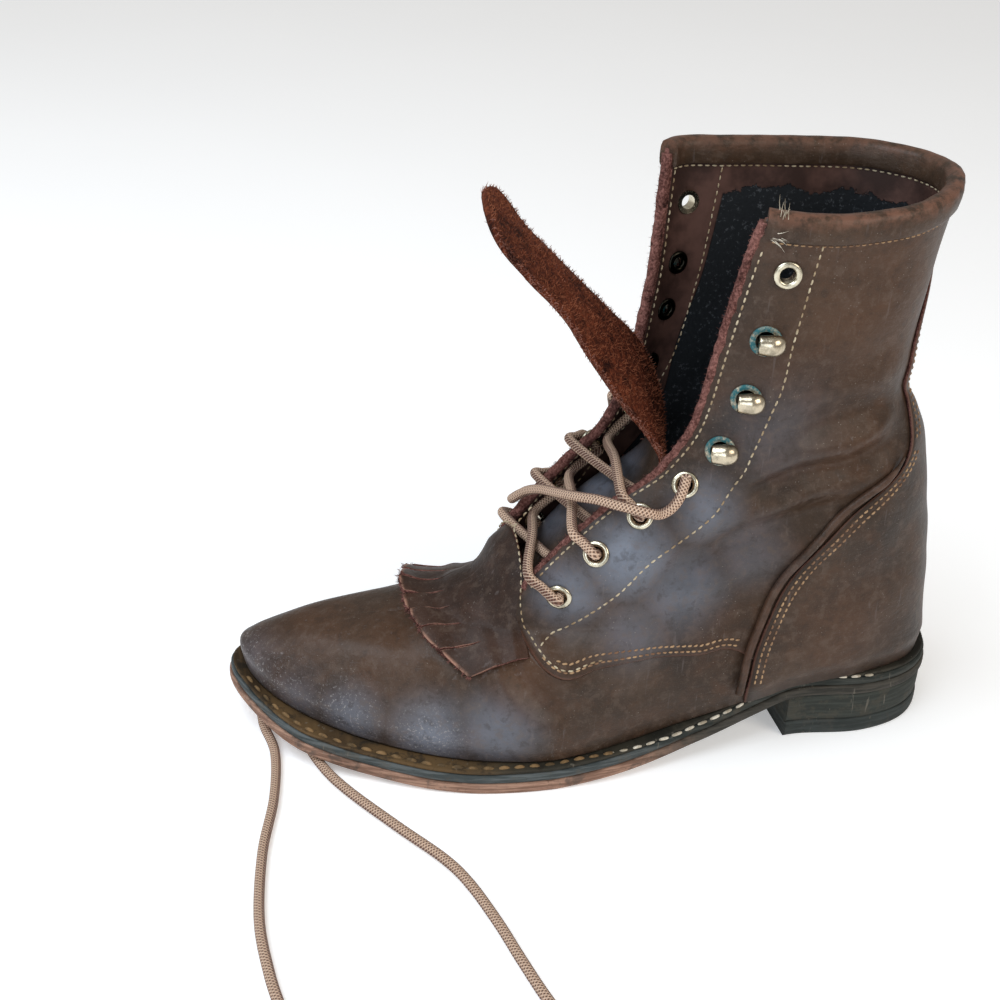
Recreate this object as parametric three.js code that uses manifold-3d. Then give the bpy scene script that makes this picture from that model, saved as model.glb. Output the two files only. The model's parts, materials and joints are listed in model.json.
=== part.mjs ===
// A leather lace-up boot for the left foot: stitched sole, low block heel, eight lacing rows and a fringe.
// Millimetres. +X points to the toe, +Y to the outer (lateral) side, +Z up.
// The origin is the centre of the heel's rest face, on the floor.
import * as THREE from "three";
import { mergeVertices } from "three/addons/utils/BufferGeometryUtils.js";
import Module from "manifold-3d";

const wasm = await Module();
wasm.setup();

// Driving sizes of the sole
const soleLength = 300;
const ballWidth = 105;
const soleBack = -39; // the sole's rear end
const heelHeight = 20; // from the floor to the outsole's underside
const heelLength = 72;
const topLiftThickness = 7;
const outsoleThickness = 4.5;
const midsoleThickness = 3.6;
const weltThickness = 1.6;
const toeSpring = 15;
const gap = 0.3; // between pieces that are glued or stitched face to face

// Driving sizes of the upper
const upperHeight = 210; // from the heel seat to the collar
const wall = 2.4;
const quarterStep = 1.4; // how far the quarters stand proud of the vamp
const counterThickness = 1.5;
const pipingDiameter = 4;
const bindingHeight = 8;
const bindingThickness = 1.3;
const insoleThickness = 3;
const featherGap = 0.5; // under the upper, clear of the curved sole
const insoleGap = 0.5;

// Driving sizes of the tongue, fringe and lacing
const tongueWidth = 58;
const tongueThickness = 2.2;
const tongueTwist = 5; // how far its lateral edge leans ahead of its middle
const tongueShift = 2; // to the lateral side
const fringeReach = 37; // from the quarters' front edge to the longest tips
const fringeNeck = 3; // how far it runs back under the laces
const fringeThickness = 1.6;
const fringeGap = 1; // keeps its flat faces clear of the curved vamp
const fringeStrips = 8;
const slitLength = 20;
const slitWidth = 0.5;
const rowSpacing = 21.2;
const topRowDrop = 22.9; // from the collar's edge to the top eyelets
const medialSpacing = 0.955; // the medial eyestay is shorter
const firstRow = 1.5; // from the foot of the eyestay to the first eyelet
const eyeletInset = 15; // from the eyestay's edge
const eyeletFlange = 5.2; // radius
const eyeletBore = 2.8; // radius
const eyeletRim = 1;
const eyeletHole = 3.9; // radius of the hole in the leather
const laceDiameter = 4;
const laceLift = 4.6; // lace centre above the leather where it leaves an eyelet

const stackHeight = outsoleThickness + midsoleThickness + weltThickness + 2 * gap + featherGap;
const seatHeight = heelHeight + stackHeight;

// The sole's underside: lift is a share of the heel height up to the ball and of the toe spring after it.
const soleRise = [
  { at: 0, lift: 1 },
  { at: 0.2, lift: 1 },
  { at: 0.245, lift: 0.965 },
  { at: 0.29, lift: 0.79 },
  { at: 0.38, lift: 0.43 },
  { at: 0.47, lift: 0.16 },
  { at: 0.59, lift: 0 },
];
const toeRise = [
  { at: 0.7, lift: 0 },
  { at: 0.756, lift: 0.06 },
  { at: 0.82, lift: 0.18 },
  { at: 0.88, lift: 0.33 },
  { at: 0.94, lift: 0.56 },
  { at: 1, lift: 1 },
];
// The sole's outline: half-widths from the centre line, as shares of the ball width.
const soleOutline = [
  { at: 0.12, lateral: 0.325, medial: 0.325 },
  { at: 0.24, lateral: 0.315, medial: 0.3 },
  { at: 0.38, lateral: 0.392, medial: 0.29 },
  { at: 0.53, lateral: 0.48, medial: 0.36 },
  { at: 0.64, lateral: 0.513, medial: 0.455 },
  { at: 0.756, lateral: 0.492, medial: 0.44 },
  { at: 0.82, lateral: 0.448, medial: 0.412 },
  { at: 0.88, lateral: 0.402, medial: 0.362 },
  { at: 0.93, lateral: 0.335, medial: 0.31 },
];
const soleEnds = { heel: 1.32, toe: 0.88 };
// How far the centre line swings to the medial side.
const swing = [
  { at: 0, shift: 0 },
  { at: 0.5, shift: 0 },
  { at: 0.65, shift: -0.025 },
  { at: 0.8, shift: -0.085 },
  { at: 0.9, shift: -0.15 },
  { at: 1, shift: -0.225 },
];
// The upper's sections, from the feather line to the collar. back and front are shares of the sole length.
// The rises and dip are shares of the upper height, and dip lowers the lateral side.
// onSole is how much a section follows the sole's curve. round and blunt fill out the loop's two ends.
// The widths at heel, waist, joint and tip are shares of the ball width, L for lateral and M for medial.
const sections = [
  { back: 0.022, front: 0.978, backRise: 0, frontRise: 0, dip: 0, onSole: 1,
    heel: 0.3, waistL: 0.365, waistM: 0.265, jointL: 0.455, jointM: 0.4, tipL: 0.335, tipM: 0.31,
    round: 1.33, blunt: 1 },
  { back: 0.024, front: 0.985, backRise: 0.035, frontRise: 0.039, dip: 0, onSole: 0.95,
    heel: 0.309, waistL: 0.378, waistM: 0.28, jointL: 0.473, jointM: 0.42, tipL: 0.345, tipM: 0.315,
    round: 1.33, blunt: 1 },
  { back: 0.029, front: 0.972, backRise: 0.078, frontRise: 0.062, dip: 0, onSole: 0.8,
    heel: 0.312, waistL: 0.382, waistM: 0.29, jointL: 0.47, jointM: 0.425, tipL: 0.33, tipM: 0.295,
    round: 1.3, blunt: 1 },
  { back: 0.034, front: 0.943, backRise: 0.13, frontRise: 0.085, dip: 0, onSole: 0.6,
    heel: 0.309, waistL: 0.373, waistM: 0.3, jointL: 0.448, jointM: 0.41, tipL: 0.29, tipM: 0.265,
    round: 1.28, blunt: 1 },
  { back: 0.038, front: 0.897, backRise: 0.183, frontRise: 0.105, dip: 0, onSole: 0.4,
    heel: 0.305, waistL: 0.362, waistM: 0.309, jointL: 0.42, jointM: 0.385, tipL: 0.255, tipM: 0.235,
    round: 1.25, blunt: 1 },
  { back: 0.044, front: 0.82, backRise: 0.233, frontRise: 0.113, dip: 0, onSole: 0.22,
    heel: 0.3, waistL: 0.352, waistM: 0.314, jointL: 0.39, jointM: 0.352, tipL: 0.235, tipM: 0.21,
    round: 1.2, blunt: 1 },
  { back: 0.049, front: 0.743, backRise: 0.283, frontRise: 0.122, dip: 0, onSole: 0.1,
    heel: 0.295, waistL: 0.343, waistM: 0.314, jointL: 0.37, jointM: 0.325, tipL: 0.245, tipM: 0.2,
    round: 1.15, blunt: 1.05 },
  { back: 0.058, front: 0.673, backRise: 0.335, frontRise: 0.168, dip: 0, onSole: 0,
    heel: 0.286, waistL: 0.333, waistM: 0.309, jointL: 0.36, jointM: 0.315, tipL: 0.3, tipM: 0.22,
    round: 1.1, blunt: 1.2 },
  { back: 0.066, front: 0.643, backRise: 0.388, frontRise: 0.236, dip: 0, onSole: 0,
    heel: 0.281, waistL: 0.329, waistM: 0.309, jointL: 0.352, jointM: 0.315, tipL: 0.335, tipM: 0.26,
    round: 1.08, blunt: 1.3 },
  { back: 0.074, front: 0.606, backRise: 0.435, frontRise: 0.314, dip: 0, onSole: 0,
    heel: 0.271, waistL: 0.324, waistM: 0.309, jointL: 0.345, jointM: 0.32, tipL: 0.312, tipM: 0.27,
    round: 1.06, blunt: 1.15 },
  { back: 0.083, front: 0.563, backRise: 0.483, frontRise: 0.385, dip: 0, onSole: 0,
    heel: 0.262, waistL: 0.324, waistM: 0.314, jointL: 0.343, jointM: 0.33, tipL: 0.28, tipM: 0.275,
    round: 1.04, blunt: 1.1 },
  { back: 0.1, front: 0.517, backRise: 0.53, frontRise: 0.452, dip: 0, onSole: 0,
    heel: 0.252, waistL: 0.329, waistM: 0.319, jointL: 0.343, jointM: 0.34, tipL: 0.24, tipM: 0.285,
    round: 1.02, blunt: 1 },
  { back: 0.122, front: 0.488, backRise: 0.588, frontRise: 0.557, dip: 0, onSole: 0,
    heel: 0.238, waistL: 0.329, waistM: 0.324, jointL: 0.343, jointM: 0.35, tipL: 0.23, tipM: 0.295,
    round: 1, blunt: 1 },
  { back: 0.118, front: 0.48, backRise: 0.715, frontRise: 0.715, dip: 0.002, onSole: 0,
    heel: 0.238, waistL: 0.33, waistM: 0.329, jointL: 0.34, jointM: 0.357, tipL: 0.23, tipM: 0.295,
    round: 1, blunt: 1 },
  { back: 0.109, front: 0.478, backRise: 0.845, frontRise: 0.85, dip: 0.012, onSole: 0,
    heel: 0.238, waistL: 0.336, waistM: 0.329, jointL: 0.338, jointM: 0.36, tipL: 0.234, tipM: 0.31,
    round: 1, blunt: 1 },
  { back: 0.095, front: 0.478, backRise: 0.98, frontRise: 0.978, dip: 0.032, onSole: 0,
    heel: 0.248, waistL: 0.343, waistM: 0.338, jointL: 0.336, jointM: 0.36, tipL: 0.238, tipM: 0.33,
    round: 1, blunt: 1 },
];
const stations = { heel: 0.12, waist: 0.4, joint: 0.64, tip: 0.86 };
// The throat: half its opening on each side, as shares of the ball width, by section level.
const throatRows = [
  { level: 7, lateral: 0.22, medial: 0.17 },
  { level: 8, lateral: 0.229, medial: 0.18 },
  { level: 10, lateral: 0.229, medial: 0.185 },
  { level: 11, lateral: 0.232, medial: 0.19 },
  { level: 12, lateral: 0.25, medial: 0.22 },
  { level: 13, lateral: 0.267, medial: 0.25 },
  { level: 15, lateral: 0.305, medial: 0.315 },
];
const throatFoot = 7.6; // the level where the opening starts
const topLevel = sections.length - 1;
// Seam lines in side view: at is a share of the sole length and rise of the upper height.
const quarterSeam = [
  { at: 0.184, rise: -0.12 },
  { at: 0.328, rise: 0.085 },
  { at: 0.4, rise: 0.098 },
  { at: 0.468, rise: 0.11 },
  { at: 0.535, rise: 0.104 },
  { at: 0.578, rise: 0.086 },
  { at: 0.61, rise: 0.1 },
  { at: 0.632, rise: 0.14 },
  { at: 0.638, rise: 0.19 },
  { at: 0.635, rise: 0.25 },
  { at: 0.625, rise: 0.34 },
];
const counterEdge = [
  { at: 0.326, rise: -0.11 },
  { at: 0.322, rise: 0.02 },
  { at: 0.314, rise: 0.11 },
  { at: 0.292, rise: 0.21 },
  { at: 0.257, rise: 0.292 },
  { at: 0.215, rise: 0.362 },
  { at: 0.168, rise: 0.42 },
  { at: 0.136, rise: 0.462 },
  { at: 0.128, rise: 0.505 },
  { at: 0.134, rise: 0.56 },
  { at: 0.142, rise: 0.6 },
  { at: 0.14, rise: 0.66 },
  { at: 0.127, rise: 0.74 },
  { at: 0.113, rise: 0.82 },
  { at: 0.103, rise: 0.885 },
];
const pipingRows = 8; // the piping follows this many rows of the counter's edge

// A smooth curve through rows of numbers that never overshoots them.
function curveThrough(xs, ys) {
  const slopes = xs.slice(1).map((x, i) => (ys[i + 1] - ys[i]) / (x - xs[i]));
  const tangents = xs.map((_, i) => {
    if (i === 0) return slopes[0];
    if (i === xs.length - 1) return slopes[i - 1];
    const before = slopes[i - 1];
    const after = slopes[i];
    return before * after <= 0 ? 0 : (2 * before * after) / (before + after);
  });
  return (x) => {
    const held = Math.min(Math.max(x, xs[0]), xs[xs.length - 1]);
    let i = 0;
    while (i < xs.length - 2 && held > xs[i + 1]) i++;
    const width = xs[i + 1] - xs[i];
    const t = (held - xs[i]) / width;
    const rise = 3 * t * t - 2 * t * t * t;
    const before = (t - 2 * t * t + t * t * t) * width * tangents[i];
    const after = (t * t * t - t * t) * width * tangents[i + 1];
    return ys[i] + (ys[i + 1] - ys[i]) * rise + before + after;
  };
}

function columnCurve(rows, along, value, scale = 1) {
  return curveThrough(rows.map((row) => row[along]), rows.map((row) => row[value] * scale));
}

// A value between low and high where an increasing function reaches a target.
function solve(increasing, target, low, high) {
  let [a, b] = [low, high];
  for (let i = 0; i < 40; i++) {
    const middle = (a + b) / 2;
    if (increasing(middle) < target) a = middle;
    else b = middle;
  }
  return (a + b) / 2;
}

const solidFrom = (faces) => {
  const positions = new Float32Array(faces.flat().flatMap((p) => [p.x, p.y, p.z]));
  const geometry = new THREE.BufferGeometry();
  geometry.setAttribute("position", new THREE.BufferAttribute(positions, 3));
  return solidOf(geometry);
};

// A closed geometry as a solid, with its faces turned outwards.
function solidOf(geometry) {
  const bare = new THREE.BufferGeometry();
  bare.setAttribute("position", geometry.getAttribute("position"));
  if (geometry.index) bare.setIndex(geometry.index);
  const merged = mergeVertices(bare, 1e-3);
  const index = merged.index.array;
  const vertices = merged.attributes.position.array;
  const corner = (i) => new THREE.Vector3().fromArray(vertices, 3 * i);
  const triangles = [];
  let volume = 0;
  for (let i = 0; i < index.length; i += 3) {
    const [a, b, c] = [index[i], index[i + 1], index[i + 2]];
    if (a === b || b === c || c === a) continue;
    triangles.push([a, b, c]);
    volume += corner(a).dot(corner(b).cross(corner(c)));
  }
  const turned = volume < 0 ? triangles.map(([a, b, c]) => [a, c, b]) : triangles;
  const triVerts = new Uint32Array(turned.flat());
  return new wasm.Manifold(new wasm.Mesh({ numProp: 3, vertProperties: vertices, triVerts }));
}

// A skin over rings of points, closed by cap triangles at both ends or joined end to end.
function skin(rings, caps, looped = false) {
  const faces = [];
  const around = rings[0].length;
  const spans = looped ? rings.length : rings.length - 1;
  for (let i = 0; i < spans; i++) {
    const near = rings[i];
    const far = rings[(i + 1) % rings.length];
    for (let j = 0; j < around; j++) {
      const k = (j + 1) % around;
      faces.push([near[j], far[j], far[k]], [near[j], far[k], near[k]]);
    }
  }
  if (!looped) {
    const last = rings[rings.length - 1];
    for (const [a, b, c] of caps) {
      faces.push([rings[0][a], rings[0][b], rings[0][c]]);
      faces.push([last[c], last[b], last[a]]);
    }
  }
  return solidFrom(faces);
}

// Cap triangles that run straight across a ring whose points come in mirrored pairs.
function capAcross(around) {
  const caps = [];
  for (let j = 0; j < around / 2; j++) {
    const here = (around - j) % around;
    const next = around - j - 1;
    caps.push([j, j + 1, next], [j, next, here]);
  }
  return caps.filter(([a, b, c]) => a !== b && b !== c && c !== a);
}

function capOutline(outline) {
  return THREE.ShapeUtils.triangulateShape(outline.map(([x, y]) => new THREE.Vector2(x, y)), []);
}

// A prism across the boot from a closed outline in side view.
function sidePrism(points, from, to) {
  const shape = new THREE.Shape(points.map(([x, z]) => new THREE.Vector2(x, z)));
  const geometry = new THREE.ExtrudeGeometry(shape, { depth: to - from, bevelEnabled: false });
  geometry.rotateX(Math.PI / 2).translate(0, to, 0);
  return solidOf(geometry);
}

// A round tube along a curve.
function tube(points, radius, sides, steps) {
  const path = new THREE.CatmullRomCurve3(points.map((p) => p.clone()), false, "centripetal");
  const circle = new THREE.Shape();
  circle.absarc(0, 0, radius, 0, 2 * Math.PI);
  const outline = new THREE.Shape(circle.getSpacedPoints(sides).slice(0, -1));
  return solidOf(new THREE.ExtrudeGeometry(outline, { steps, extrudePath: path, bevelEnabled: false }));
}

const soleX = (share) => soleBack + share * soleLength;
const soleShare = (x) => (x - soleBack) / soleLength;
const heelPart = columnCurve(soleRise, "at", "lift", heelHeight);
const toePart = columnCurve(toeRise, "at", "lift", toeSpring);
const soleBottom = (x) => heelPart(soleShare(x)) + toePart(soleShare(x));
const swingCurve = columnCurve(swing, "at", "shift", ballWidth);
const centreLine = (x) => swingCurve(soleShare(x));

// Half-width of a round-ended loop: the table's widths divided by the sine that rounds the ends.
function loopWidths(rows, heelEnd, toeEnd) {
  const rounding = (t) => 2 * Math.sqrt(t * (1 - t));
  const shares = rows.map((row) => row.width / rounding(row.at));
  const xs = [0, ...rows.map((row) => row.at), 1];
  return curveThrough(xs, [shares[0] * heelEnd, ...shares, shares[shares.length - 1] * toeEnd]);
}

function outlineOf(side) {
  const rows = soleOutline.map((row) => ({ at: row.at, width: row[side] * ballWidth }));
  return loopWidths(rows, soleEnds.heel, soleEnds.toe);
}
const soleSides = { lateral: outlineOf("lateral"), medial: outlineOf("medial") };

// A slab of the sole between two heights above its underside, drawn in from its outline.
function soleSlab({ low, high, inset, from = 0, to = 1, pieces = 44 }) {
  const rings = [];
  const angleAt = (share) => Math.acos(1 - 2 * share);
  for (let i = 0; i <= pieces; i++) {
    const angle = angleAt(from) + ((angleAt(to) - angleAt(from)) * i) / pieces;
    const t = (1 - Math.cos(angle)) / 2;
    const trimmed = inset + t * (soleLength - 2 * inset);
    const x = soleBack + trimmed;
    const half = (side) => Math.max(0, Math.sin(angle) * soleSides[side](t) - inset * Math.sin(angle));
    const [left, right] = [centreLine(x) + half("lateral"), centreLine(x) - half("medial")];
    const [bottom, top] = [low(x), high(x)];
    const corner = (y, z) => new THREE.Vector3(x, y, z);
    rings.push([corner(left, bottom), corner(left, top), corner(right, top), corner(right, bottom)]);
  }
  return skin(rings, [[0, 1, 2], [0, 2, 3]]);
}

const sectionLevels = sections.map((_, i) => i);
const sectionCurve = Object.fromEntries(
  Object.keys(sections[0]).map((name) => [name, curveThrough(sectionLevels, sections.map((row) => row[name]))]),
);
const sectionCache = new Map();

// One section of the upper: its ends, its plane and its half-widths.
function sectionAt(level) {
  if (sectionCache.has(level)) return sectionCache.get(level);
  const value = Object.fromEntries(Object.entries(sectionCurve).map(([name, curve]) => [name, curve(level)]));
  const side = (mark) =>
    loopWidths(
      [
        { at: stations.heel, width: value.heel * ballWidth },
        { at: stations.waist, width: value["waist" + mark] * ballWidth },
        { at: stations.joint, width: value["joint" + mark] * ballWidth },
        { at: stations.tip, width: value["tip" + mark] * ballWidth },
      ],
      value.round,
      value.blunt,
    );
  const ends = { backX: soleX(value.back), frontX: soleX(value.front) };
  const made = { ...value, ...ends, lateral: side("L"), medial: side("M") };
  sectionCache.set(level, made);
  return made;
}

// A point on the upper's outer face.
// The angle is 0 at the front, positive on the lateral side and pi at the back.
function lastPoint(level, angle) {
  const held = Math.min(Math.max(level, 0), topLevel);
  const section = sectionAt(held);
  const t = (1 + Math.cos(angle)) / 2;
  const x = section.backX + (section.frontX - section.backX) * t;
  const widths = Math.sin(angle) >= 0 ? section.lateral : section.medial;
  const y = centreLine(x) + Math.sin(angle) * widths(t);
  const seat = section.onSole * (soleBottom(x) + stackHeight) + (1 - section.onSole) * seatHeight;
  const dip = section.dip * Math.max(0, Math.sin(angle)) ** 2;
  const rise = section.backRise + (section.frontRise - section.backRise) * t - dip;
  const beyond = (level - held) * (upperHeight / topLevel);
  return new THREE.Vector3(x, y, seat + rise * upperHeight + beyond);
}

function lastNormal(level, angle) {
  const step = 0.02;
  const around = lastPoint(level, angle + step).sub(lastPoint(level, angle - step));
  const up = lastPoint(level + step, angle).sub(lastPoint(level - step, angle));
  const normal = around.cross(up).normalize();
  if (level <= 0 || level >= topLevel) normal.setZ(0).normalize();
  return normal;
}

const offsetPoint = (level, angle, offset) =>
  lastPoint(level, angle).addScaledVector(lastNormal(level, angle), offset);

// The angle at which a section passes over an x, on one side.
function angleAtX(level, x, side) {
  const section = sectionAt(Math.min(Math.max(level, 0), topLevel));
  const t = (x - section.backX) / (section.frontX - section.backX);
  return side * Math.acos(Math.min(Math.max(2 * t - 1, -1), 1));
}

// The level and angle of a point on the upper, given in side view.
function sidePlace(x, z, side) {
  const level = solve((l) => lastPoint(l, angleAtX(l, x, side)).z, z, 0, topLevel);
  return { level, angle: angleAtX(level, x, side) };
}

// The level and angle of a point on the vamp, given in plan.
function topPlace(x, y) {
  const side = y >= centreLine(x) ? 1 : -1;
  const shy = (l) => {
    const section = sectionAt(l);
    if (x >= section.frontX) return 1000;
    return -Math.abs(lastPoint(l, angleAtX(l, x, side)).y - centreLine(x));
  };
  const level = solve(shy, -Math.abs(y - centreLine(x)), 0, 9);
  return { level, angle: angleAtX(level, x, side) };
}

// A closed body in the shape of the last, drawn out by an offset.
function lastBody(offset, { rows, columns, below = 0, above = 0 }) {
  const levels = Array.from({ length: rows + 1 }, (_, i) => (topLevel * i) / rows);
  if (below) levels.unshift(-below / (upperHeight / topLevel));
  if (above) levels.push(topLevel + above / (upperHeight / topLevel));
  const rings = levels.map((level) =>
    Array.from({ length: columns }, (_, j) => offsetPoint(level, (2 * Math.PI * j) / columns, offset)),
  );
  return skin(rings, capAcross(columns));
}

const throatCurve = {
  lateral: columnCurve(throatRows, "level", "lateral", ballWidth),
  medial: columnCurve(throatRows, "level", "medial", ballWidth),
};

// The angle of the eyestay's edge at a level.
function throatAngle(level, side) {
  const half = (side > 0 ? throatCurve.lateral : throatCurve.medial)(level);
  const away = (angle) => {
    const p = lastPoint(level, side * angle);
    return Math.abs(p.y - centreLine(p.x));
  };
  return side * solve(away, half, 0, 1.5);
}

// A wedge through the front that leaves the throat open.
function throatCutter(fromLevel, reach) {
  const rows = 16;
  const rings = Array.from({ length: rows + 1 }, (_, i) => {
    const level = fromLevel + ((topLevel + 1 - fromLevel) * i) / rows;
    const held = Math.min(level, topLevel);
    const [left, right] = [throatAngle(held, 1), throatAngle(held, -1)];
    const ring = [];
    const across = 4;
    const angleAt = (j) => left + ((right - left) * j) / across;
    for (let j = 0; j <= across; j++) ring.push(offsetPoint(level, angleAt(j), reach));
    for (let j = across; j >= 0; j--) ring.push(offsetPoint(level, angleAt(j), -reach));
    return ring;
  });
  const across = rings[0].length / 2 - 1;
  const caps = [];
  for (let j = 0; j < across; j++) {
    const low = rings[0].length - 1 - j;
    caps.push([j, j + 1, low - 1], [j, low - 1, low]);
  }
  return skin(rings, caps);
}

const sideXZ = (row) => [soleX(row.at), seatHeight + row.rise * upperHeight];

// Side-view points of a smooth line through rows.
function sideLine(rows, divisions) {
  const curve = new THREE.SplineCurve(rows.map((row) => new THREE.Vector2(...sideXZ(row))));
  return curve.getSpacedPoints(divisions).map((p) => [p.x, p.y]);
}

const farBack = soleX(-0.1);
const farUp = seatHeight + upperHeight * 1.15;
const farAcross = ballWidth;

// The throat's edge as points of one side, from its foot to the collar.
function throatEdge(side, inset) {
  const count = 60;
  return Array.from({ length: count + 1 }, (_, i) => {
    const level = throatFoot + ((topLevel - throatFoot) * i) / count;
    let angle = throatAngle(level, side);
    let [walked, here] = [0, lastPoint(level, angle)];
    while (walked < inset) {
      angle += side * 0.01;
      const next = lastPoint(level, angle);
      walked += next.distanceTo(here);
      here = next;
    }
    return { level, angle, point: here };
  });
}

const hookShares = [0.225, 0.475, 0.72]; // of the way from the last low eyelet to the top one

// The eight lacing rows of one side: level, angle, point and outward normal. The low eyelets are counted from the
// eyestay's foot, the top one from the collar's edge, and the hooks share the way between them.
function lacingRows(side) {
  const edge = throatEdge(side, eyeletInset);
  const stretch = side > 0 ? 1 : medialSpacing;
  const walked = [0];
  for (let i = 1; i < edge.length; i++) walked.push(walked[i - 1] + edge[i].point.distanceTo(edge[i - 1].point));
  const low = [0, 1, 2, 3].map((i) => (firstRow + i * rowSpacing) * stretch);
  const top = walked[walked.length - 1] - topRowDrop / stretch;
  const hooks = hookShares.map((share) => low[3] + share * (top - low[3]));
  return [...low, ...hooks, top].map((target) => {
    const { level, angle } = edge[walked.findIndex((length) => length >= target)];
    const normal = lastNormal(level, angle);
    return { level, angle, normal, point: offsetPoint(level, angle, quarterStep) };
  });
}

const latheOf = (outline, sides) =>
  new THREE.LatheGeometry(outline.map(([r, z]) => new THREE.Vector2(r, z)), sides).rotateX(Math.PI / 2);

// A solid turned from the z axis to a normal and moved to a point.
function seatOn(geometry, point, normal, spin = 0) {
  const turn = new THREE.Quaternion().setFromUnitVectors(new THREE.Vector3(0, 0, 1), normal);
  return geometry.rotateZ(spin).applyQuaternion(turn).translate(point.x, point.y, point.z);
}

const sides = { lateral: 1, medial: -1 };
const rowsOf = { lateral: lacingRows(1), medial: lacingRows(-1) };
const eyeletRows = [0, 1, 2, 3, 7];
const hookRows = [4, 5, 6];

function makeSole() {
  const outsoleTop = (x) => soleBottom(x) + outsoleThickness;
  const midsoleLow = (x) => outsoleTop(x) + gap;
  const midsoleTop = (x) => midsoleLow(x) + midsoleThickness;
  const weltLow = (x) => midsoleTop(x) + gap;
  const weltTop = (x) => weltLow(x) + weltThickness;
  const outsole = soleSlab({ low: soleBottom, high: outsoleTop, inset: 0 });
  const midsole = soleSlab({ low: midsoleLow, high: midsoleTop, inset: 0.6 });
  const weltInset = 1.6;
  const weltReach = 15;
  const weltPlate = soleSlab({ low: weltLow, high: weltTop, inset: weltInset });
  const under = (x) => weltLow(x) - 1;
  const over = (x) => weltTop(x) + 1;
  const weltHole = soleSlab({ low: under, high: over, inset: weltReach, pieces: 32 });
  const heelFront = soleShare(soleBack + heelLength);
  const stackLow = topLiftThickness + gap;
  const heelSize = { from: 0, to: heelFront, pieces: 18 };
  const heelStack = soleSlab({ low: () => stackLow, high: (x) => soleBottom(x) - gap, inset: 0.8, ...heelSize });
  const topLift = soleSlab({ low: () => 0, high: () => topLiftThickness, inset: 0.4, ...heelSize });
  return { outsole, midsole, welt: weltPlate.subtract(weltHole), heel_stack: heelStack, top_lift: topLift };
}

const outerGrid = { rows: 27, columns: 44 };
const innerGrid = { rows: 18, columns: 30, below: 8, above: 8 };

// The insole lies inside the upper, on the midsole, within the welt's ring.
function makeInsole() {
  const columns = innerGrid.columns;
  const inset = wall + 0.6;
  const ring = (lift) =>
    Array.from({ length: columns }, (_, j) => {
      const p = offsetPoint(0, (2 * Math.PI * j) / columns, -inset);
      return p.setZ(soleBottom(p.x) + stackHeight + lift);
    });
  return skin([ring(insoleGap), ring(insoleGap + insoleThickness)], capAcross(columns));
}

function quarterOutline() {
  const ahead = soleX(0.7);
  const around = [
    [ahead, seatHeight + 0.5 * upperHeight],
    [ahead, farUp],
    [farBack, farUp],
    [farBack, seatHeight - 0.12 * upperHeight],
  ];
  return [...sideLine(quarterSeam, 26), ...around];
}

// A stepped hole through the eyestay with a flat seat for a flange on each face.
function seatCutter(row) {
  const depth = wall + quarterStep;
  const seat = eyeletFlange + gap;
  const reach = 4;
  const outline = [
    [0, -depth - reach],
    [seat, -depth - reach],
    [seat, -depth],
    [eyeletHole, -depth],
    [eyeletHole, 0],
    [seat, 0],
    [seat, reach],
    [0, reach],
  ];
  return solidOf(seatOn(latheOf(outline, 10), row.point, row.normal));
}

function makeUpper() {
  const quarterForm = lastBody(quarterStep, outerGrid).intersect(sidePrism(quarterOutline(), -farAcross, farAcross));
  const quarters = quarterForm.subtract(throatCutter(7, 12));
  let upper = lastBody(0, outerGrid).add(quarters).subtract(lastBody(-wall, innerGrid));
  upper = upper.subtract(throatCutter(throatFoot, 12));
  for (const rows of Object.values(rowsOf)) {
    for (const row of rows) {
      upper = upper.subtract(seatCutter(row));
    }
  }
  return upper;
}

function counterOutline() {
  const edge = sideLine(counterEdge, 30);
  return [...edge, [farBack, edge[edge.length - 1][1]], [farBack, edge[0][1]]];
}

const counterLow = quarterStep + gap;
function makeCounter() {
  const outer = lastBody(counterLow + counterThickness, outerGrid);
  const inner = lastBody(counterLow, { ...outerGrid, below: 6, above: 6 });
  return outer.subtract(inner).intersect(sidePrism(counterOutline(), -farAcross, farAcross));
}

// The rolled seam in front of the counter's edge.
function makePiping(side) {
  const radius = pipingDiameter / 2;
  const line = sideLine(counterEdge.slice(1, pipingRows), 22);
  const points = line.map(([x, z], i) => {
    const [beforeX, beforeZ] = line[Math.max(i - 1, 0)];
    const [afterX, afterZ] = line[Math.min(i + 1, line.length - 1)];
    const along = new THREE.Vector2(afterX - beforeX, afterZ - beforeZ).normalize();
    const ahead = radius + 4 * gap;
    const place = sidePlace(x + along.y * ahead, z - along.x * ahead, side);
    return offsetPoint(place.level, place.angle, quarterStep + gap + radius);
  });
  return tube(points, radius, 8, 24);
}

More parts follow.
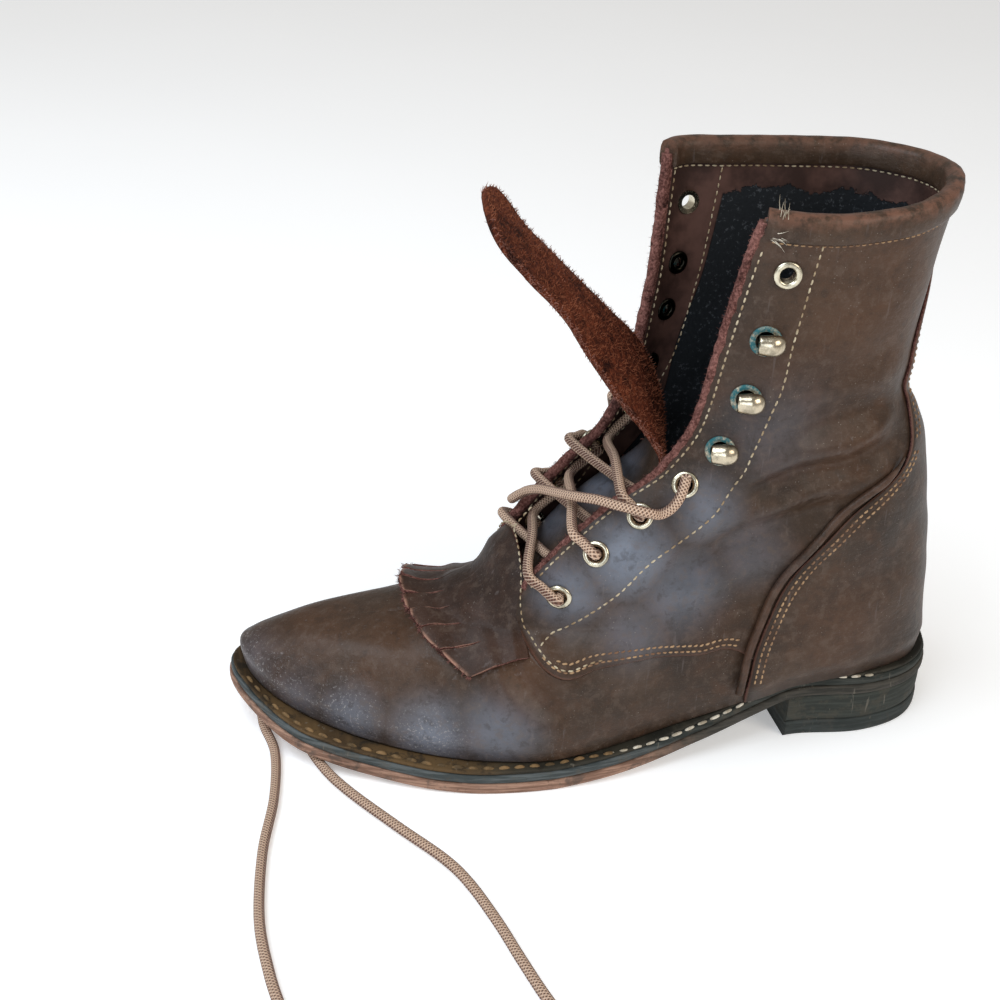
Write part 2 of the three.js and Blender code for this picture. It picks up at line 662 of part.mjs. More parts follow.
// The binding folds over the collar's edge from one eyestay to the other.
function makeBinding() {
  const outside = quarterStep + 1.5 * gap;
  const inside = -wall - 3 * gap;
  const fold = bindingThickness;
  const seat = 2 * gap;
  const top = seat + fold;
  const outline = [
    [outside, -bindingHeight],
    [outside + fold, -bindingHeight],
    [outside + fold * 1.2, -bindingHeight / 2],
    [outside + fold, 0],
    [outside, top],
    [inside, top],
    [inside - fold, 0],
    [inside - fold, -bindingHeight],
    [inside, -bindingHeight],
    [inside, seat],
    [outside, seat],
  ];
  const [left, right] = [throatAngle(topLevel, 1) + 0.03, throatAngle(topLevel, -1) - 0.03];
  const last = right + 2 * Math.PI;
  const { columns } = outerGrid;
  const columnAngles = Array.from({ length: columns }, (_, i) => (2 * Math.PI * i) / columns);
  const angles = [left, ...columnAngles.filter((angle) => angle > left + 0.03 && angle < last - 0.03), last];
  const rings = angles.map((angle) => {
    const levelHeight = lastPoint(topLevel, angle).z - lastPoint(topLevel - 1, angle).z;
    return outline.map(([across, height]) => {
      const place = offsetPoint(topLevel + Math.min(height, 0) / levelHeight, angle, across);
      return place.setZ(place.z + Math.max(height, 0));
    });
  });
  return skin(rings, capOutline(outline));
}

// The tongue's centre line in side view, its width and cup as shares of its full width,
// and its share of the twist.
const tongueRows = [
  { at: 0.646, rise: 0.1745, width: 0.6, cup: 0.1, twist: 0 },
  { at: 0.603, rise: 0.218, width: 0.6, cup: 0.1, twist: 0 },
  { at: 0.543, rise: 0.254, width: 0.6, cup: 0.09, twist: 0 },
  { at: 0.49, rise: 0.292, width: 0.6, cup: 0.08, twist: 0.2 },
  { at: 0.45, rise: 0.335, width: 0.6, cup: 0.06, twist: 0.5 },
  { at: 0.427, rise: 0.397, width: 0.6, cup: 0.03, twist: 0.9 },
  { at: 0.427, rise: 0.454, width: 0.6, cup: 0, twist: 1 },
  { at: 0.447, rise: 0.521, width: 0.62, cup: -0.01, twist: 1.2 },
  { at: 0.48, rise: 0.602, width: 0.68, cup: -0.02, twist: 1.5 },
  { at: 0.527, rise: 0.688, width: 0.8, cup: -0.03, twist: 1.2 },
  { at: 0.585, rise: 0.783, width: 0.9, cup: -0.03, twist: 0.8 },
  { at: 0.635, rise: 0.853, width: 0.92, cup: -0.02, twist: 0.7 },
  { at: 0.67, rise: 0.905, width: 0.84, cup: 0, twist: 0.8 },
  { at: 0.69, rise: 0.935, width: 0.6, cup: 0, twist: 0.9 },
];

function makeTongue() {
  const across = 6;
  const spine = new THREE.SplineCurve(
    tongueRows.map((row) => new THREE.Vector2(...sideXZ(row))),
  );
  const count = tongueRows.length - 1;
  const rowCurve = (name) => curveThrough(tongueRows.map((_, i) => i), tongueRows.map((row) => row[name]));
  const [widthAt, cupAt, twistAt] = [rowCurve("width"), rowCurve("cup"), rowCurve("twist")];
  const pieces = 22;
  const rings = Array.from({ length: pieces + 1 }, (_, i) => {
    const t = i / pieces;
    const p = spine.getPoint(t);
    const tangent = spine.getTangent(t);
    const half = (widthAt(t * count) * tongueWidth) / 2;
    const cup = cupAt(t * count) * tongueWidth;
    const twist = twistAt(t * count) * tongueTwist;
    const face = (lift, order) =>
      order.map((j) => {
        const share = (2 * j) / across - 1;
        const ahead = lift - cup * share * share + twist * share;
        return new THREE.Vector3(p.x + tangent.y * ahead, tongueShift + share * half, p.y - tangent.x * ahead);
      });
    const order = Array.from({ length: across + 1 }, (_, j) => j);
    return [...face(tongueThickness / 2, order), ...face(-tongueThickness / 2, order.slice().reverse())];
  });
  const caps = [];
  for (let j = 0; j < across; j++) {
    const low = 2 * across + 1 - j;
    caps.push([j, j + 1, low - 1], [j, low - 1, low]);
  }
  return skin(rings, caps);
}

// The fringe: a saddle of leather over the vamp, cut into strips that curl up.
// across runs from -1, medial, to 1.
const fringeRows = [
  { across: -1, reach: 0.55, curl: 0.3 },
  { across: -0.6, reach: 0.86, curl: 0.75 },
  { across: -0.2, reach: 1, curl: 1 },
  { across: 0.25, reach: 1, curl: 0.55 },
  { across: 0.6, reach: 0.88, curl: 0.25 },
  { across: 1, reach: 0.5, curl: 0.08 },
];
const fringeHalf = ballWidth * 0.36;
const fringeCurl = 8; // how high the longest strips stand off the vamp
const neckShare = 0.28; // of the fringe's width

function makeFringe() {
  const reachAt = columnCurve(fringeRows, "across", "reach", fringeReach);
  const curlAt = columnCurve(fringeRows, "across", "curl", fringeCurl);
  const front = Math.max(...quarterSeam.map((row) => soleX(row.at))) + 2 * gap;
  const slitShare = slitWidth / fringeHalf;
  const columns = [];
  for (let i = 0; i < fringeStrips; i++) {
    const low = -1 + (2 * i) / fringeStrips + slitShare / 2;
    const high = -1 + (2 * (i + 1)) / fringeStrips - slitShare / 2;
    const middle = (low + high) / 2;
    for (const across of [low, middle, high]) columns.push({ across, strip: i, middle });
  }
  const [neckRows, sheetRows, stripRows] = [2, 3, 5];
  const rows = neckRows + sheetRows + stripRows;
  const point = (i, column, lift) => {
    const reach = reachAt(column.middle);
    const root = Math.max(reach - slitLength, 1.5);
    const bodyRow = i - neckRows;
    let along = (fringeNeck * bodyRow) / neckRows;
    if (bodyRow > 0) along = (root * bodyRow) / sheetRows;
    if (bodyRow > sheetRows) along = root + ((reach - root) * (bodyRow - sheetRows)) / stripRows;
    const rounded = bodyRow === sheetRows + stripRows && column.across !== column.middle ? 2 : 0;
    const x = front + along - rounded;
    const curl = curlAt(column.middle) * Math.max(0, along / reach) ** 2.4;
    const place = topPlace(x, centreLine(x) + column.across * fringeHalf);
    return offsetPoint(place.level, place.angle, fringeGap + curl + lift);
  };
  const grid = [];
  for (let i = 0; i <= rows; i++) {
    grid.push(columns.map((column) => [point(i, column, 0), point(i, column, fringeThickness)]));
  }
  const present = (i, j) => {
    if (i < 0 || i >= rows || j < 0 || j >= columns.length - 1) return false;
    if (i < neckRows) return Math.max(Math.abs(columns[j].across), Math.abs(columns[j + 1].across)) < neckShare;
    return i < neckRows + sheetRows || columns[j].strip === columns[j + 1].strip;
  };
  const faces = [];
  const quad = (a, b, c, d) => faces.push([a, b, c], [a, c, d]);
  for (let i = 0; i < rows; i++) {
    for (let j = 0; j < columns.length - 1; j++) {
      if (!present(i, j)) continue;
      const [a, b, c, d] = [grid[i][j], grid[i + 1][j], grid[i + 1][j + 1], grid[i][j + 1]];
      quad(a[1], b[1], c[1], d[1]);
      quad(d[0], c[0], b[0], a[0]);
      const wall = (from, to) => quad(from[1], from[0], to[0], to[1]);
      if (!present(i, j - 1)) wall(a, b);
      if (!present(i + 1, j)) wall(b, c);
      if (!present(i, j + 1)) wall(c, d);
      if (!present(i - 1, j)) wall(d, a);
    }
  }
  return solidFrom(faces);
}

function makeEyelet(row) {
  const depth = wall + quarterStep;
  const barrel = eyeletBore + 0.7;
  const outline = [
    [eyeletBore, -depth - gap - eyeletRim],
    [eyeletFlange * 0.9, -depth - gap - eyeletRim * 0.6],
    [eyeletFlange * 0.9, -depth - gap],
    [barrel, -depth - gap],
    [barrel, gap],
    [eyeletFlange, gap],
    [(eyeletFlange + eyeletBore) / 2, gap + eyeletRim],
    [eyeletBore, gap + eyeletRim * 0.5],
    [eyeletBore, -depth - gap - eyeletRim],
  ];
  return solidOf(seatOn(latheOf(outline, 10), row.point, row.normal));
}

// A speed hook: a riveted disc and a rounded lip that opens towards the throat.
function makeHook(row, side) {
  const disc = new THREE.CylinderGeometry(eyeletFlange, eyeletFlange, eyeletRim, 12).rotateX(Math.PI / 2);
  disc.translate(0, 0, gap + eyeletRim / 2);
  const depth = wall + quarterStep;
  const rivet = new THREE.CylinderGeometry(eyeletBore, eyeletBore, depth + gap, 8).rotateX(Math.PI / 2);
  rivet.translate(0, 0, -depth / 2 + gap);
  const lip = new THREE.SphereGeometry(1, 10, 6).scale(5.4, 4, 3.2).translate(2, 0, 4);
  const slot = new THREE.BoxGeometry(7, 10, 2.6).translate(-3.4, 0, 3);
  const away = lastPoint(row.level, row.angle + side * 0.05).sub(lastPoint(row.level, row.angle)).normalize();
  const turn = new THREE.Quaternion().setFromUnitVectors(new THREE.Vector3(0, 0, 1), row.normal);
  const east = new THREE.Vector3(1, 0, 0).applyQuaternion(turn);
  const spin = Math.atan2(east.clone().cross(away).dot(row.normal), east.dot(away));
  const place = (geometry) => solidOf(seatOn(geometry, row.point, row.normal, spin));
  return place(disc).add(place(rivet)).add(place(lip)).subtract(place(slot));
}

// Where a strand passes over its own eyestay's edge, half-way to the next row.
function overEdge(from, side, to) {
  const level = (from.level + to.level) / 2;
  return offsetPoint(level, throatAngle(level, side), quarterStep + laceLift - 0.8);
}

// One strand from above an eyelet, over its own eyestay, to the gap beside the other eyestay.
function strand(from, side, to, crown) {
  const start = from.point.clone().addScaledVector(from.normal, laceLift);
  const edge = overEdge(from, side, to);
  const end = offsetPoint(to.level, throatAngle(to.level, -side), -wall / 2);
  end.setY(end.y + side * (laceDiameter / 2 + 1.8));
  const onFlap = start.clone().lerp(edge, 0.5).addScaledVector(from.normal, 1.6);
  return tube([start, onFlap, edge, crown, end], laceDiameter / 2, 6, 10);
}

// Two strands that cross between one row and the next.
function makeCrossing(i) {
  const { lateral, medial } = rowsOf;
  const edges = [overEdge(lateral[i], 1, medial[i + 1]), overEdge(medial[i], -1, lateral[i + 1])];
  const crown = edges[0].add(edges[1]).multiplyScalar(0.5).add(new THREE.Vector3(0, 0, 0.6));
  return strand(lateral[i], 1, medial[i + 1], crown).add(strand(medial[i], -1, lateral[i + 1], crown));
}

const colours = {
  leather: { color: 0x3b2620, roughness: 0.5 },
  edge: { color: 0xa8765a, roughness: 0.8 },
  rubber: { color: 0x2c322d, roughness: 0.75 },
  welt: { color: 0x5a4326, roughness: 0.8 },
  suede: { color: 0x5a2418, roughness: 1 },
  insole: { color: 0x2a2624, roughness: 0.9 },
  lace: { color: 0x9a6a50, roughness: 0.8 },
  brass: { color: 0xb9a77c, roughness: 0.3, metalness: 1 },
};

// The lace's two free ends, from the fourth row over the medial side and under the toe's spring to the floor.
const laceEndRoutes = {
  lateral: [
    [93, 35.5, 130], [95.2, 37.8, 124], [98.5, 38.6, 119.2], [103, 38.6, 116.8], [108.5, 40, 118.8],
    [113.8, 38.2, 119.8], [119, 34, 119.6], [124.5, 27.5, 118.6], [130, 19, 115.6], [134.5, 8.5, 111.8],
    [138, -3, 107.2], [141.2, -13, 101.2], [144.3, -20.5, 94], [143.2, -25.8, 91], [138.5, -29, 91.3],
    [131, -32.3, 89.5], [125.8, -35.2, 80], [124.3, -38.5, 68], [125, -46.8, 53], [130.5, -50.5, 37],
    [139, -57, 22], [148, -65, 9.5], [157, -70, 3], [167, -71, 2.3], [188, -73, 2.3], [214, -71, 2.3], [236, -58, 2.3], [247, -34, 2.3], [249, -8, 2.3],
    [246, 14, 2.3], [249, 42, 2.3], [256, 72, 2.3], [260, 105, 2.3], [259, 130, 2.3], [256, 150, 2.3],
    [250, 175, 2.3],
  ],
  medial: [
    [101, -33, 131], [101.3, -36, 130.8], [100.2, -38.6, 127.5], [98.4, -40.2, 120], [98.3, -41, 110],
    [99, -41, 97], [102.5, -41.5, 80], [107.5, -45, 63], [112.5, -47, 45], [118.5, -51, 28],
    [126, -58, 13], [136, -62.5, 4], [148, -63, 2.3], [160, -63, 2.3], [175, -63, 2.3], [200, -63, 2.3], [221, -55, 2.3],
    [231, -38, 2.3], [235, -15, 2.3], [233, 8, 2.3], [228, 26, 2.3], [220, 42, 2.3], [204, 66, 2.3],
    [190, 86, 2.3], [183, 101, 2.3], [177, 122, 2.3], [173, 140, 2.3], [168, 160, 2.3], [160, 184, 2.3],
  ],
};

function makeLaceEnd(route) {
  return tube(route.map((p) => new THREE.Vector3(...p)), laceDiameter / 2, 6, 50);
}

const boot = new THREE.Group();

function addPiece(name, solid, colour) {
  const { vertProperties, triVerts, numProp } = solid.getMesh();
  const count = vertProperties.length / numProp;
  const positions = new Float32Array(count * 3);
  for (let i = 0; i < count; i++) positions.set(vertProperties.subarray(i * numProp, i * numProp + 3), i * 3);
  const geometry = new THREE.BufferGeometry();
  geometry.setAttribute("position", new THREE.BufferAttribute(positions, 3));
  geometry.setIndex(new THREE.BufferAttribute(triVerts, 1));
  geometry.computeVertexNormals();
  const mesh = new THREE.Mesh(geometry, new THREE.MeshStandardMaterial(colours[colour]));
  mesh.name = name;
  boot.add(mesh);
}

const sole = makeSole();
addPiece("outsole", sole.outsole, "edge");
addPiece("midsole", sole.midsole, "rubber");
addPiece("welt", sole.welt, "welt");
addPiece("heel_stack", sole.heel_stack, "rubber");
addPiece("top_lift", sole.top_lift, "rubber");
addPiece("insole", makeInsole(), "insole");
addPiece("upper", makeUpper(), "leather");
addPiece("counter", makeCounter(), "leather");
addPiece("collar_binding", makeBinding(), "leather");
addPiece("tongue", makeTongue(), "suede");
addPiece("fringe", makeFringe(), "leather");
for (const [sideName, side] of Object.entries(sides)) {
  addPiece("counter_piping_" + sideName, makePiping(side), "leather");
  for (const i of eyeletRows) {
    addPiece("eyelet_" + sideName + "_" + (i + 1), makeEyelet(rowsOf[sideName][i]), "brass");
  }
  for (const i of hookRows) {
    addPiece("hook_" + sideName + "_" + (i + 1), makeHook(rowsOf[sideName][i], side), "brass");
  }
}
for (const i of [0, 1, 2]) addPiece("lace_crossing_" + (i + 1), makeCrossing(i), "lace");
for (const [name, route] of Object.entries(laceEndRoutes)) {
  addPiece("lace_end_" + name, makeLaceEnd(route), "lace");
}

export default boot;
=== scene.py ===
# A left lace-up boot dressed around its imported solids: leather, seams, lacing, sole edges and metal.
# Shapes are worked out in millimetres in the boot's own frame and become metres when a mesh is made.
import json
import math
import bmesh
import bpy
import numpy as np
from mathutils import Matrix, Vector

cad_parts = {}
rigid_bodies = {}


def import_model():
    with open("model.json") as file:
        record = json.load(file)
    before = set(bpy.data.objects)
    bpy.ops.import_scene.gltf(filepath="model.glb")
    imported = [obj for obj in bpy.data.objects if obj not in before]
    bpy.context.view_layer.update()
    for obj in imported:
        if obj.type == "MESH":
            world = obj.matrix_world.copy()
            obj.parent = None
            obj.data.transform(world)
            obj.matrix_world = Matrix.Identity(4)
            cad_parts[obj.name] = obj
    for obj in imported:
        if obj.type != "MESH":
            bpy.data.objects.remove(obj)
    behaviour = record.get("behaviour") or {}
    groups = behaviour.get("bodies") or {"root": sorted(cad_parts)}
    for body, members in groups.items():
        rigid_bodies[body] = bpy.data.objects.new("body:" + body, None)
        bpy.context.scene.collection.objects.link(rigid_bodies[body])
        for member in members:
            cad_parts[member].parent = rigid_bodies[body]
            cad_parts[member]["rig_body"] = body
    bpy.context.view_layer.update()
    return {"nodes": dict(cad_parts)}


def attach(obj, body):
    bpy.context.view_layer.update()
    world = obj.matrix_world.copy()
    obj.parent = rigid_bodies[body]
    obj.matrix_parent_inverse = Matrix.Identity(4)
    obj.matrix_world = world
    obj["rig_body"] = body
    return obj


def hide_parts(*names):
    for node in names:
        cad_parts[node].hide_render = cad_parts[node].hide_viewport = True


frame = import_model()
rng = np.random.default_rng(41)

# Camera: angles in radians, its place in millimetres
view = {"focal": 55.81, "azimuth": 1.32319, "elevation": 0.50905, "roll": 0.060032, "place": (285.2, 514.5, 401.4)}
back = np.array([math.cos(view["elevation"]) * math.cos(view["azimuth"]),
                 math.cos(view["elevation"]) * math.sin(view["azimuth"]), math.sin(view["elevation"])])
right = np.cross([0, 0, 1], back)
right /= np.linalg.norm(right)
up = np.cross(back, right)
c, s = math.cos(view["roll"]), math.sin(view["roll"])
cameraAxes = np.stack([c * right + s * up, c * up - s * right, back], axis=1)
camera = bpy.data.objects.new("camera", bpy.data.cameras.new("camera"))
camera.data.lens = view["focal"]
camera.data.sensor_width = 36
camera.data.clip_start = 0.01
camera.matrix_world = Matrix.Translation(Vector(view["place"]) / 1000) @ Matrix(cameraAxes.tolist()).to_4x4()
bpy.context.scene.collection.objects.link(camera)
bpy.context.scene.camera = camera


def areaLight(name, place, target, size, power, colour):
    data = bpy.data.lights.new(name, "AREA")
    data.shape = "RECTANGLE"
    data.size, data.size_y = size
    data.energy = power
    data.color = colour
    light = bpy.data.objects.new(name, data)
    light.location = place
    light.rotation_euler = (Vector(target) - Vector(place)).to_track_quat("-Z", "Y").to_euler()
    bpy.context.scene.collection.objects.link(light)


areaLight("windowSky", (0.8, 0.2, 1.15), (0.12, 0, 0.1), (1.1, 0.8), 13, (0.8, 0.9, 1.0))
areaLight("windowSide", (0.75, 1.3, 0.5), (0.12, 0, 0.08), (0.9, 0.6), 5, (0.8, 0.9, 1.0))
areaLight("roomFill", (-0.7, 0.95, 0.9), (0.08, 0, 0.1), (0.7, 0.7), 7, (1.0, 0.91, 0.8))
world = bpy.data.worlds.new("room")
world.use_nodes = True
world.node_tree.nodes["Background"].inputs["Color"].default_value = (1.0, 0.97, 0.93, 1)
world.node_tree.nodes["Background"].inputs["Strength"].default_value = 0.4
bpy.context.scene.world = world
bpy.context.scene.view_settings.view_transform = "Standard"


# Shader maths: a Val wraps a socket, so that sums of masks read as plain expressions.
class Val:
    def __init__(self, finish, socket):
        self.finish, self.socket = finish, socket

    def math(self, operation, *values):
        return self.finish.node("ShaderNodeMath", dict(enumerate(values)), {"operation": operation})

    def __add__(self, other):
        return self.math("ADD", self, other)

    def __sub__(self, other):
        return self.math("SUBTRACT", self, other)

    def __rsub__(self, other):
        return self.math("SUBTRACT", other, self)

    def __mul__(self, other):
        return self.math("MULTIPLY", self, other)

    __radd__ = __add__
    __rmul__ = __mul__

    def sin(self):
        return self.math("SINE", self)

    def least(self, other):
        return self.math("MINIMUM", self, other)

    def most(self, other):
        return self.math("MAXIMUM", self, other)

    def held(self):
        return self.most(0.0).least(1.0)

    def above(self, low, high):  # 0 below low, 1 above high, smooth between
        return self.finish.node("ShaderNodeMapRange", {"Value": self, "From Min": low, "From Max": high},
                                {"interpolation_type": "SMOOTHSTEP"})


class Finish:
    def __init__(self, name, **constants):
        self.material = bpy.data.materials.new(name)
        self.material.use_nodes = True
        self.tree = self.material.node_tree
        self.shader = self.tree.nodes["Principled BSDF"]
        for key, value in constants.items():
            self.shader.inputs[key.replace("_", " ")].default_value = value

    def node(self, kind, given=None, settings=None, out=0):
        made = self.tree.nodes.new(kind)
        for key, value in (settings or {}).items():
            setattr(made, key, value)
        for key, value in (given or {}).items():
            if isinstance(value, Val):
                self.tree.links.new(value.socket, made.inputs[key])
            elif hasattr(value, "__len__") and len(made.inputs[key].default_value) == 4:
                made.inputs[key].default_value = (*value, 1)
            else:
                made.inputs[key].default_value = value
        return Val(self, made.outputs[out])

    def coords(self):
        return self.node("ShaderNodeTexCoord", out="Object")

    def stretched(self, scale):
        return self.node("ShaderNodeMapping", {"Vector": self.coords(), "Scale": scale})

    def noise(self, scale, detail=4.0, rough=0.55, distort=0.0, at=None):
        return self.node("ShaderNodeTexNoise", {"Vector": at or self.coords(), "Scale": scale, "Detail": detail,
                                                "Roughness": rough, "Distortion": distort})

    def cells(self, scale):
        return self.node("ShaderNodeTexVoronoi", {"Vector": self.coords(), "Scale": scale})

    def field(self, name):
        return self.node("ShaderNodeAttribute", None, {"attribute_name": name}, "Fac")

    def mix(self, factor, a, b):
        return self.node("ShaderNodeMix", {0: factor, 6: a, 7: b}, {"data_type": "RGBA"}, 2)

    def near(self, centre, radius):  # 1 at a point of the boot in millimetres, falling to 0 at a radius
        gone = self.node("ShaderNodeVectorMath", {0: self.coords(), 1: tuple(v / 1000 for v in centre)},
                         {"operation": "DISTANCE"}, "Value")
        return 1 - gone.above(0.0, radius / 1000)

    def strongest(self, spots):  # the most of several near() masks, each a centre, a radius and its share
        most = None
        for centre, radius, share in spots:
            spot = self.near(centre, radius) * share
            most = spot if most is None else most.most(spot)
        return most

    def bump(self, height, strength, distance, under=None):
        given = {"Height": height, "Strength": strength, "Distance": distance}
        if under:
            given["Normal"] = under
        return self.node("ShaderNodeBump", given)

    def out(self, **links):
        for key, value in links.items():
            self.tree.links.new(value.socket, self.shader.inputs[key.replace("_", " ")])
        return self.material


# Oiled leather: brown with a grey-blue bloom that is partly wax bloom and partly a painted sheen of sky reflection,
# fine pores, faint drawn scratches and pale flecks of dust.
leatherLook = {"dark": (0.022, 0.0132, 0.0085), "brown": (0.05, 0.0295, 0.018), "warm": (0.082, 0.036, 0.0165),
               "bloomSheen": (0.155, 0.18, 0.23), "rub": (0.14, 0.066, 0.042), "roughness": 0.42, "sheen": 0.21}
kiltLook = dict(leatherLook, dark=(0.02, 0.0105, 0.0072), brown=(0.045, 0.024, 0.0165), warm=(0.06, 0.027, 0.016),
                rub=(0.34, 0.18, 0.125), roughness=0.5, sheen=0.18)
# Places of the grey-blue bloom, which is partly wax bloom and partly painted sky reflection, of the reddish wear and
# of the scuffs near the welt: centre, radius and share.
bloomAndSheenSpots = [((106, -6, 106), 26, 0.95), ((124, -8, 88), 20, 0.8), ((112, 38, 97), 26, 1.0), ((84, 38, 116), 22, 0.62),
          ((134, 33, 80), 22, 0.75), ((90, 40, 82), 30, 0.55), ((108, 42, 66), 24, 0.4), ((162, 46, 26), 26, 0.62),
          ((188, 40, 22), 26, 0.75), ((218, 26, 24), 22, 0.6), ((236, 8, 24), 20, 0.35), ((64, 38, 96), 26, 0.3),
          ((60, 38, 150), 34, 0.22), ((252, -10, 30), 22, 0.3)]
warmths = [((150, 38, 48), 24, 1.0), ((196, 10, 56), 40, 0.8), ((30, 34, 190), 60, 0.7), ((70, 38, 60), 26, 0.4),
           ((18, 34, 58), 40, 0.7), ((60, 36, 180), 34, 0.5), ((232, -10, 46), 40, 0.6), ((30, 33, 140), 34, 0.6)]
scuffs = [((255, 6, 24), 34, 1.5), ((225, 30, 22), 30, 1.5), ((190, 44, 20), 24, 1.5), ((262, -20, 30), 26, 1.5)]


def leather(name, edges=None, worn=None, look=leatherLook):
    f = Finish(name, Coat_Roughness=0.3, Specular_IOR_Level=look["sheen"])
    big = f.noise(16, 3, 0.6, 0.6)
    mid = f.noise(75, 5, 0.62, 0.3)
    colour = f.mix(big.above(0.28, 0.7), look["dark"], look["brown"])
    colour = f.mix(mid.above(0.42, 0.72) * 0.4, colour, look["warm"])
    # grey-blue bloom: partly wax bloom, partly a painted sheen of sky reflection at these spots; the same spots also
    # get more clear coat
    bloomSheen = f.strongest(bloomAndSheenSpots)
    bloomAndPaintedSheen = bloomSheen * (mid.above(0.1, 0.75) * 0.5 + 0.55) * (big * 0.3 + 0.8)
    colour = f.mix(bloomAndPaintedSheen.held(), colour, look["bloomSheen"])
    colour = f.mix(f.strongest(warmths) * 0.7, colour, look["warm"])
    smear = f.noise(210, 5, 0.68, 0.3)
    colour = f.mix(smear.above(0.5, 0.66) * 0.32, colour, (0.11, 0.076, 0.057))
    colour = f.mix((1 - smear.above(0.34, 0.48)) * 0.4, colour, look["dark"])
    drawn = f.noise(420, 3, 0.6, 0.0, f.stretched((1.0, 1.0, 0.07))).above(0.62, 0.75)
    colour = f.mix(drawn * 0.28, colour, (0.15, 0.125, 0.12))
    flecks = 1 - f.cells(560).above(0.06, 0.13)
    colour = f.mix(flecks * f.noise(48).above(0.46, 0.6) * 0.55, colour, (0.3, 0.26, 0.22))
    colour = f.mix(f.noise(1500, 3, 0.8).above(0.56, 0.72) * 0.16, colour, (0.22, 0.19, 0.17))
    scuffed = f.noise(900, 4, 0.8).above(0.56, 0.66) * f.strongest(scuffs).held()
    colour = f.mix(scuffed * 0.75, colour, (0.34, 0.32, 0.31))
    if edges:  # darker dyed leather beside a cut edge or a seam, then a rubbed line on it
        beside = f.field(edges)
        colour = f.mix((1 - beside.above(1.2, 5.0)) * 0.55, colour, look["dark"])
        colour = f.mix((1 - beside.above(0.2, 1.1)) * 0.8, colour, (0.13, 0.06, 0.04))
    if worn:
        rub = f.field(worn)
        colour = f.mix(rub * f.noise(160, 4, 0.7).above(0.36, 0.6), colour, look["rub"])
    colour = f.mix(1.0 - f.field("shade").held(), colour, (0.006, 0.004, 0.0035))
    pores = f.cells(1150).above(0.0, 0.5)
    grain = f.noise(620, 4, 0.65)
    folds = f.noise(190, 3, 0.5, 0.8, f.stretched((1.0, 1.0, 2.2)))
    normal = f.bump(pores * 0.5 + grain * 0.5, 0.24, 0.0004)
    normal = f.bump(folds, 0.22, 0.0013, normal)
    rough = mid * 0.16 + grain * 0.12 + (look["roughness"] - 0.1)
    return f.out(Base_Color=colour, Roughness=rough, Coat_Weight=(bloomSheen * 0.45 + big * 0.1).held(), Normal=normal)


def suede(name, dark, light, scale=1.0, strength=0.8):
    f = Finish(name, Specular_IOR_Level=0.15)
    nap = f.noise(700 * scale, 5, 0.75, 0.4)
    lumps = f.noise(150 * scale, 4, 0.7)
    patch = f.noise(38, 3, 0.6)
    colour = f.mix(nap.above(0.38, 0.66) * 0.75 + patch.above(0.45, 0.7) * 0.25, dark, light)
    colour = f.mix(1 - lumps.above(0.3, 0.5), colour, tuple(v * 0.45 for v in dark))
    normal = f.bump(nap * 0.7 + lumps * 0.5, strength, 0.0011)
    return f.out(Base_Color=colour, Roughness=nap * 0.1 + 0.86, Normal=normal)


def liningFinish(name):
    f = Finish(name, Specular_IOR_Level=0.2)
    torn = f.noise(75, 5, 0.7) * 13 + f.noise(300, 3, 0.7) * 3
    facing = 1 - (f.field("fromCollar") + torn).above(25, 25.8)
    facing = facing.most(1 - f.field("fromThroat").above(29, 29.6))
    weave = f.cells(620)
    grey = f.mix(f.noise(480, 4, 0.8).above(0.56, 0.66) * 0.7, (0.009, 0.0105, 0.0125), (0.075, 0.08, 0.088))
    brown = f.mix(f.noise(50, 4, 0.6).above(0.38, 0.66), (0.03, 0.015, 0.012), (0.085, 0.043, 0.034))
    colour = f.mix(facing, grey, brown)
    step = f.bump(facing, 0.7, 0.0012)
    normal = f.bump(weave * (1 - facing) + f.noise(500) * 0.5, 0.3, 0.0006, step)
    return f.out(Base_Color=colour, Roughness=0.9 - facing * 0.38, Normal=normal)


def edgeFinish(name, base, light, dirt, layered=900.0, dirtShare=0.5, waist=None, waistFrom=0.095):
    f = Finish(name, Specular_IOR_Level=0.25)
    lines = f.noise(layered, 3, 0.7, 0.0, f.stretched((0.06, 0.06, 1.0)))
    spots = f.noise(110, 5, 0.7)
    colour = f.mix(lines.above(0.4, 0.62), base, light)
    if waist:  # towards the heel the whole edge is darker, back from waistFrom along the boot
        parts = f.node("ShaderNodeSeparateXYZ", {0: f.coords()})
        darkTowardsHeel = 1 - (parts + spots * 0.05).above(waistFrom, waistFrom + 0.045)
        colour = f.mix(darkTowardsHeel * 0.96, colour, f.mix(lines.above(0.35, 0.65), *waist))
    colour = f.mix(spots.above(0.5, 0.62) * dirtShare, colour, dirt)
    colour = f.mix(f.noise(420, 4, 0.8).above(0.62, 0.7) * 0.6, colour, tuple(v * 0.3 for v in dirt))
    scratch = f.noise(300, 3, 0.7, 0.4, f.stretched((1.0, 1.0, 0.2))).above(0.64, 0.7)
    colour = f.mix(scratch * 0.45, colour, (0.17, 0.15, 0.12))
    colour = f.mix(f.near((-2, 36, 31), 6).above(0.35, 0.5) * spots.above(0.4, 0.5), colour, (0.36, 0.19, 0.11))
    normal = f.bump(lines * 0.6 + spots * 0.6, 0.5, 0.0009)
    return f.out(Base_Color=colour, Roughness=spots * 0.25 + 0.66, Normal=normal)


